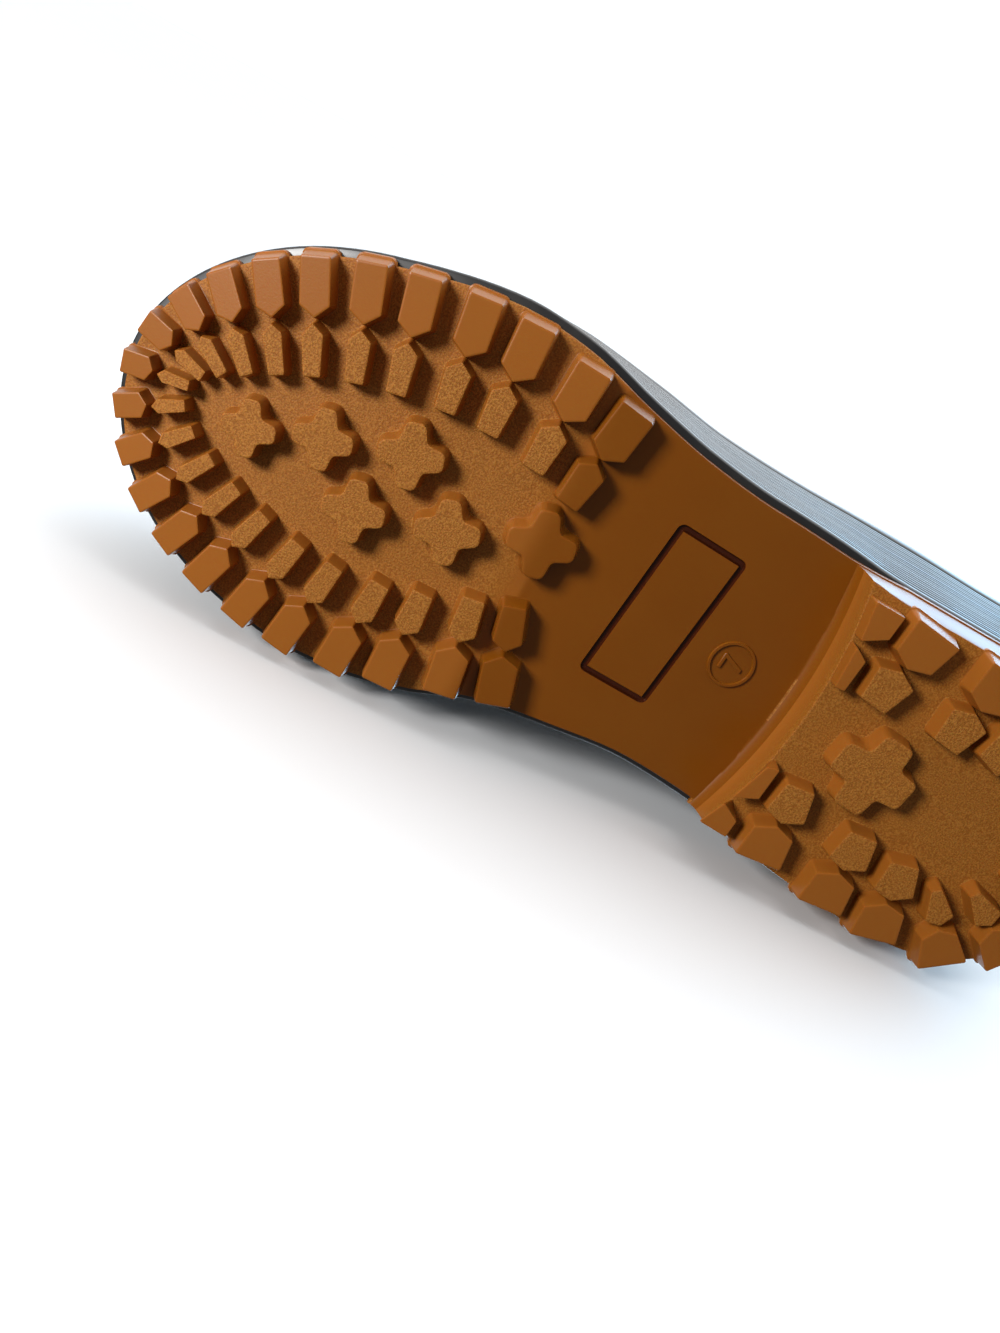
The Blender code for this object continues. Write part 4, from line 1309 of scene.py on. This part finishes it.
@dataclass
class Sidewall:
    """Black sidewall band: a thin lip at its foot, fine ribs, a deep groove and the plain lip of the rim."""

    form: Form
    finish: BlackRubberFinish = field(default_factory=lambda: BlackRubberFinish(
        name="sidewall_rubber", roughness=0.36, specular=0.8, fine_depth=0.00001))
    sharp_deg: float = 55.0
    ledge: float = 2.0
    ribs: int = 17
    first: float = 0.07
    last: float = 0.82
    depth: float = 0.75
    waver: float = 0.35
    seed: int = 5
    rib_rows: tuple = (0.0, 0.10, 0.22, 0.50, 0.78, 0.90)
    groove_half: float = 0.22
    shallow: float = 0.30
    drift_per_mm: float = 0.035
    margin: tuple = (0.004, 0.002)
    foot_rows: tuple = table(WallStep, (0.0, 0.6), (0.008, 0.2), (0.03, 0.0), (0.055, 0.0))
    lip_rows: tuple = table(
        WallStep, (0.822, 0.2), (0.832, 1.5), (0.842, 1.5), (0.856, 0.25), (0.868, 0.0), (0.91, -0.1),
        (0.955, 0.1), (0.98, 0.45), (1.0, 1.2))

    def rows(self) -> list[WallStep]:
        """Steps of the smooth wall's profile, with rows where the ribs will need them."""
        span = (self.last - self.first) / self.ribs
        ribs = [WallStep(self.first + (k + f) * span, 0.0) for k in range(self.ribs) for f in self.rib_rows]
        return [*self.foot_rows, *ribs, *self.lip_rows]

    def rib_tree(self) -> NodeTree:
        """Tree that sinks grooves of uneven depth between the ribs."""
        tree = NodeTree("sidewall_ribs")
        ribs, first, last, depth, waver, seed = (
            tree.ask(name, "NodeSocketFloat") for name in ("Ribs", "First", "Last", "Depth", "Waver", "Seed"))
        share = tree.attribute("share", "FLOAT")
        outward = tree.attribute("outward", "FLOAT_VECTOR")
        along = (share - first) / (last - first) * ribs
        line = along.nearest()
        groove = 1.0 - abs(along - line).ramp(0.0, self.groove_half)
        uneven = tree.graph.node("ShaderNodeTexWhiteNoise", {"noise_dimensions": "1D"}, {"W": line + seed})
        drift = tree.graph.node("ShaderNodeTexNoise", inputs={"Scale": self.drift_per_mm, "Detail": 2.0})
        inside = share.above(first - self.margin[0]) * (1.0 - share.above(last - self.margin[1]))
        deep = self.shallow + (1.0 - self.shallow) * uneven * uneven
        sink = depth * groove * inside * deep * (1.0 + waver * (drift - 0.5))
        move = tree.graph.node(
            "ShaderNodeVectorMath", {"operation": "SCALE"}, {0: outward, "Scale": 0.0 - sink})
        tree.close(tree.graph.node(
            "GeometryNodeSetPosition", inputs={"Geometry": tree.geometry, "Offset": move}))
        return tree

    def build(self) -> bpy.types.Object:
        """Build and dress the sidewall."""
        form = self.form
        foot, rim = form.tucked(form.tread, self.ledge), form.tucked(form.rim, 0.0)
        rings, shares, outward = [], [], []
        for row in self.rows():
            face = [low.lerp(high, row.share) for low, high in zip(foot, rim)]
            loop = offset_loop(face, -row.depth)
            heights = [mix(form.seat_at(low.x) + form.gap, eased(form.rim_line, "z", high.x), row.share)
                       for low, high in zip(foot, rim)]
            rings.append([Vector((p.x, p.y, z)) for p, z in zip(loop, heights)])
            shares += [row.share] * form.facets
            outward += [(p - q).normalized() for p, q in zip(offset_loop(face, 1.0), face)]
        for source in (form.upper_loop(0.0), form.upper_foot()):
            flat = offset_loop([Vector((p.x, p.y)) for p in source], form.gap)
            rings.append([Vector((p.x, p.y, q.z)) for p, q in zip(flat, source)])
            shares += [-1.0] * form.facets
            outward += [Vector((0.0, 0.0))] * form.facets
        wall = new_object("sidewall_band", looped(rings))
        set_layer(wall, "share", "FLOAT", "POINT", shares)
        set_layer(wall, "outward", "FLOAT_VECTOR", "POINT", [v for p in outward for v in (p.x, p.y, 0.0)])
        self.rib_tree().run(wall, Ribs=float(self.ribs), First=self.first, Last=self.last, Depth=self.depth,
                            Waver=self.waver, Seed=float(self.seed), Material=self.finish.material())
        form.lay(wall, self.sharp_deg)
        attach(wall, BODY)
        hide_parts("sidewall")
        return wall


@dataclass
class Upper:
    """Hollow upper of smooth black rubber with a knitted lining, open at the collar."""

    form: Form
    finish: BlackRubberFinish = field(default_factory=lambda: BlackRubberFinish(
        name="upper_rubber", roughness=0.42))
    lining: KnitFinish = field(default_factory=lambda: KnitFinish(name="lining_knit"))
    sharp_deg: float = 60.0
    ring_count: int = 72
    collar_steps: int = 4
    crease_bend: float = 0.4
    creases: tuple = table(
        Crease, (0.585, 0.018, 0.9, 0.16), (0.665, 0.020, 1.1, 0.20), (0.745, 0.018, 0.7, 0.15))

    def fold(self, share: float, turn: float) -> float:
        """Depth of the soft folds at the ankle's front."""
        turn = min(turn, 1.0 - turn)
        depth = 0.0
        for crease in self.creases:
            across = math.exp(-((share - crease.share - self.crease_bend * turn * turn) / crease.spread) ** 2)
            depth += crease.depth * across * math.exp(-(turn / crease.reach) ** 2)
        return depth

    def build(self) -> bpy.types.Object:
        """Build and dress the upper."""
        form = self.form
        shares = [k / (self.ring_count - 1) for k in range(self.ring_count)]
        outer = [form.upper_foot()] + [form.upper_loop(share) for share in shares]
        normals = []
        for k, ring in enumerate(outer):
            below, above = outer[max(0, k - 1)], outer[min(len(outer) - 1, k + 1)]
            normals.append([(above[i] - below[i]).cross(ring[(i + 1) % len(ring)] - ring[i - 1]).normalized()
                            for i in range(len(ring))])
        for k, share in enumerate(shares, start=1):
            for i in range(form.facets):
                outer[k][i] = outer[k][i] + self.fold(share, i / form.facets) * normals[k][i]
        flat = [[Vector((n.x, n.y, 0.0)).normalized() for n in normals[k]] for k in (0, -1)]
        moves = [flat[0], *normals[1:-1], flat[1]]
        inner = [[p + form.wall * m for p, m in zip(ring, row)] for ring, row in zip(outer, moves)]
        collar = []
        for k in range(1, self.collar_steps):
            angle = math.pi * k / self.collar_steps
            rise, share = form.wall / 2.0 * math.sin(angle), (1.0 - math.cos(angle)) / 2.0
            collar.append([a.lerp(b, share) + Vector((0.0, 0.0, rise)) for a, b in zip(outer[-1], inner[-1])])
        upper = new_object("upper_shell", looped(outer + collar + inner[::-1]))
        for finish in (self.finish, self.lining):
            upper.data.materials.append(finish.material())
        lined = (len(outer) + len(collar)) * form.facets
        for face in upper.data.polygons:
            face.material_index = 1 if min(face.vertices) >= lined else 0
        form.lay(upper, self.sharp_deg)
        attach(upper, BODY)
        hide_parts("upper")
        return upper


@dataclass
class Insole:
    """Insole on the outsole's plate, inside the upper."""

    form: Form
    finish: KnitFinish = field(default_factory=lambda: KnitFinish(
        name="insole_cloth", course_per_metre=480.0))
    sharp_deg: float = 60.0
    thickness: float = 4.0
    clearance: float = 0.5
    rounding: float = 1.2
    columns: int = 8

    def build(self) -> bpy.types.Object:
        """Build and dress the insole."""
        form = self.form
        inset = form.inset + form.wall + self.clearance
        steps = [(offset, self.thickness - drop) for offset, drop in reversed(rounded_edge(self.rounding))]
        rings = [form.on_seat(form.tread.loop(offset - inset, form.facets), rise)
                 for offset, rise in ((0.0, 0.0), *steps)]
        pad = new_object("insole_pad", stacked(rings, self.columns))
        pad.data.materials.append(self.finish.material())
        form.lay(pad, self.sharp_deg)
        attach(pad, BODY)
        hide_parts("insole")
        return pad


class Lamp(NamedTuple):
    """A soft light panel: where it hangs, what it faces, its size, power and colour."""

    name: str
    at: tuple
    facing: tuple
    size: float
    watts: float
    colour: tuple


@dataclass
class Studio:
    """White floor, soft light and the camera."""

    floor_half: float = 6.0
    dark_sky: float = 0.14
    bright_sky: float = 2.00
    sky_lift: float = 0.7
    sky_turn: tuple = (0.1, 0.6)
    left_sky: float = 0.5
    left_turn: tuple = (-0.35, 0.25)
    sky_colour: tuple = (1.0, 0.99, 0.98)
    low_sky: float = 0.5
    low_turn: tuple = (-0.3, 0.0)
    window: float = 4.0
    window_side: tuple = (0.1, 0.5)
    window_back: tuple = (0.2, 0.5)
    window_top: tuple = (0.45, 0.65)
    window_colour: tuple = (0.48, 0.86, 1.20)
    lamps: tuple = (
        Lamp("key", (-0.56, -0.58, 0.26), (-0.03, -0.08, 0.05), 0.20, 6.4, (1.0, 0.985, 0.965)),)
    camera_m: tuple = (-0.05371, -0.32612, 0.11846)
    camera_deg: tuple = (66.0455, -27.2088, 4.8955)
    lens_mm: float = 29.7
    near_m: float = 0.01

    def floor(self) -> None:
        """Lay the floor."""
        corners = [Vector((x * self.floor_half, y * self.floor_half, 0.0)) for x, y in SQUARE]
        floor = new_object("studio_floor", (corners, [(0, 1, 2, 3)]))
        floor.data.materials.append(PaperFinish().material())
        floor.visible_diffuse = floor.visible_glossy = False

    def light(self) -> None:
        """Set the world and hang the panels."""
        world = bpy.data.worlds.new("studio")
        world.use_nodes = True
        background = world.node_tree.nodes["Background"]
        graph = Graph(world.node_tree)
        direction = graph.node("ShaderNodeTexCoord", output="Generated")
        x, y, z = (graph.node("ShaderNodeSeparateXYZ", inputs={0: direction}, output=axis) for axis in "XYZ")
        side = self.left_sky + (1.0 - self.left_sky) * x.ramp(*self.left_turn)
        low = self.low_sky + (1.0 - self.low_sky) * z.ramp(*self.low_turn)
        lit = side * low * (y + self.sky_lift * z).ramp(*self.sky_turn)
        pane = x.ramp(*self.window_side) * y.ramp(*self.window_back) * (1.0 - z.ramp(*self.window_top))
        colour = graph.blend(pane, self.sky_colour, self.window_colour)
        glow = self.dark_sky + (self.bright_sky - self.dark_sky) * lit + self.window * pane
        seen = graph.node("ShaderNodeLightPath", output="Is Camera Ray")
        strength = glow + seen * (self.bright_sky - glow)
        graph.feed(background, "Color", colour)
        graph.feed(background, "Strength", strength)
        bpy.context.scene.world = world
        for lamp in self.lamps:
            data = bpy.data.lights.new(lamp.name, "AREA")
            data.size, data.energy, data.color = lamp.size, lamp.watts, lamp.colour
            panel = bpy.data.objects.new(lamp.name, data)
            panel.location = lamp.at
            panel.rotation_euler = (Vector(lamp.facing) - Vector(lamp.at)).to_track_quat("-Z", "Y").to_euler()
            bpy.context.scene.collection.objects.link(panel)

    def camera(self) -> None:
        """Set the camera at the photograph's angle."""
        data = bpy.data.cameras.new("camera")
        data.lens = self.lens_mm
        data.clip_start = self.near_m
        camera = bpy.data.objects.new("camera", data)
        camera.location = self.camera_m
        camera.rotation_euler = [math.radians(angle) for angle in self.camera_deg]
        bpy.context.scene.collection.objects.link(camera)
        bpy.context.scene.camera = camera

    def build(self) -> None:
        """Build the whole studio."""
        self.camera()
        self.floor()
        self.light()
        bpy.context.scene.view_settings.view_transform = "Standard"


def main() -> None:
    """Load the frame and build the boot around it."""
    logging.basicConfig(level=logging.INFO, format="%(name)s: %(message)s")
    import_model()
    form = Form()
    Studio().build()
    for piece in (Outsole(form), Sidewall(form), Upper(form), Insole(form)):
        made = piece.build()
        made.data.calc_loop_triangles()
        LOG.info("%s: %d triangles", made.name, len(made.data.loop_triangles))


if __name__ == "__main__":
    main()
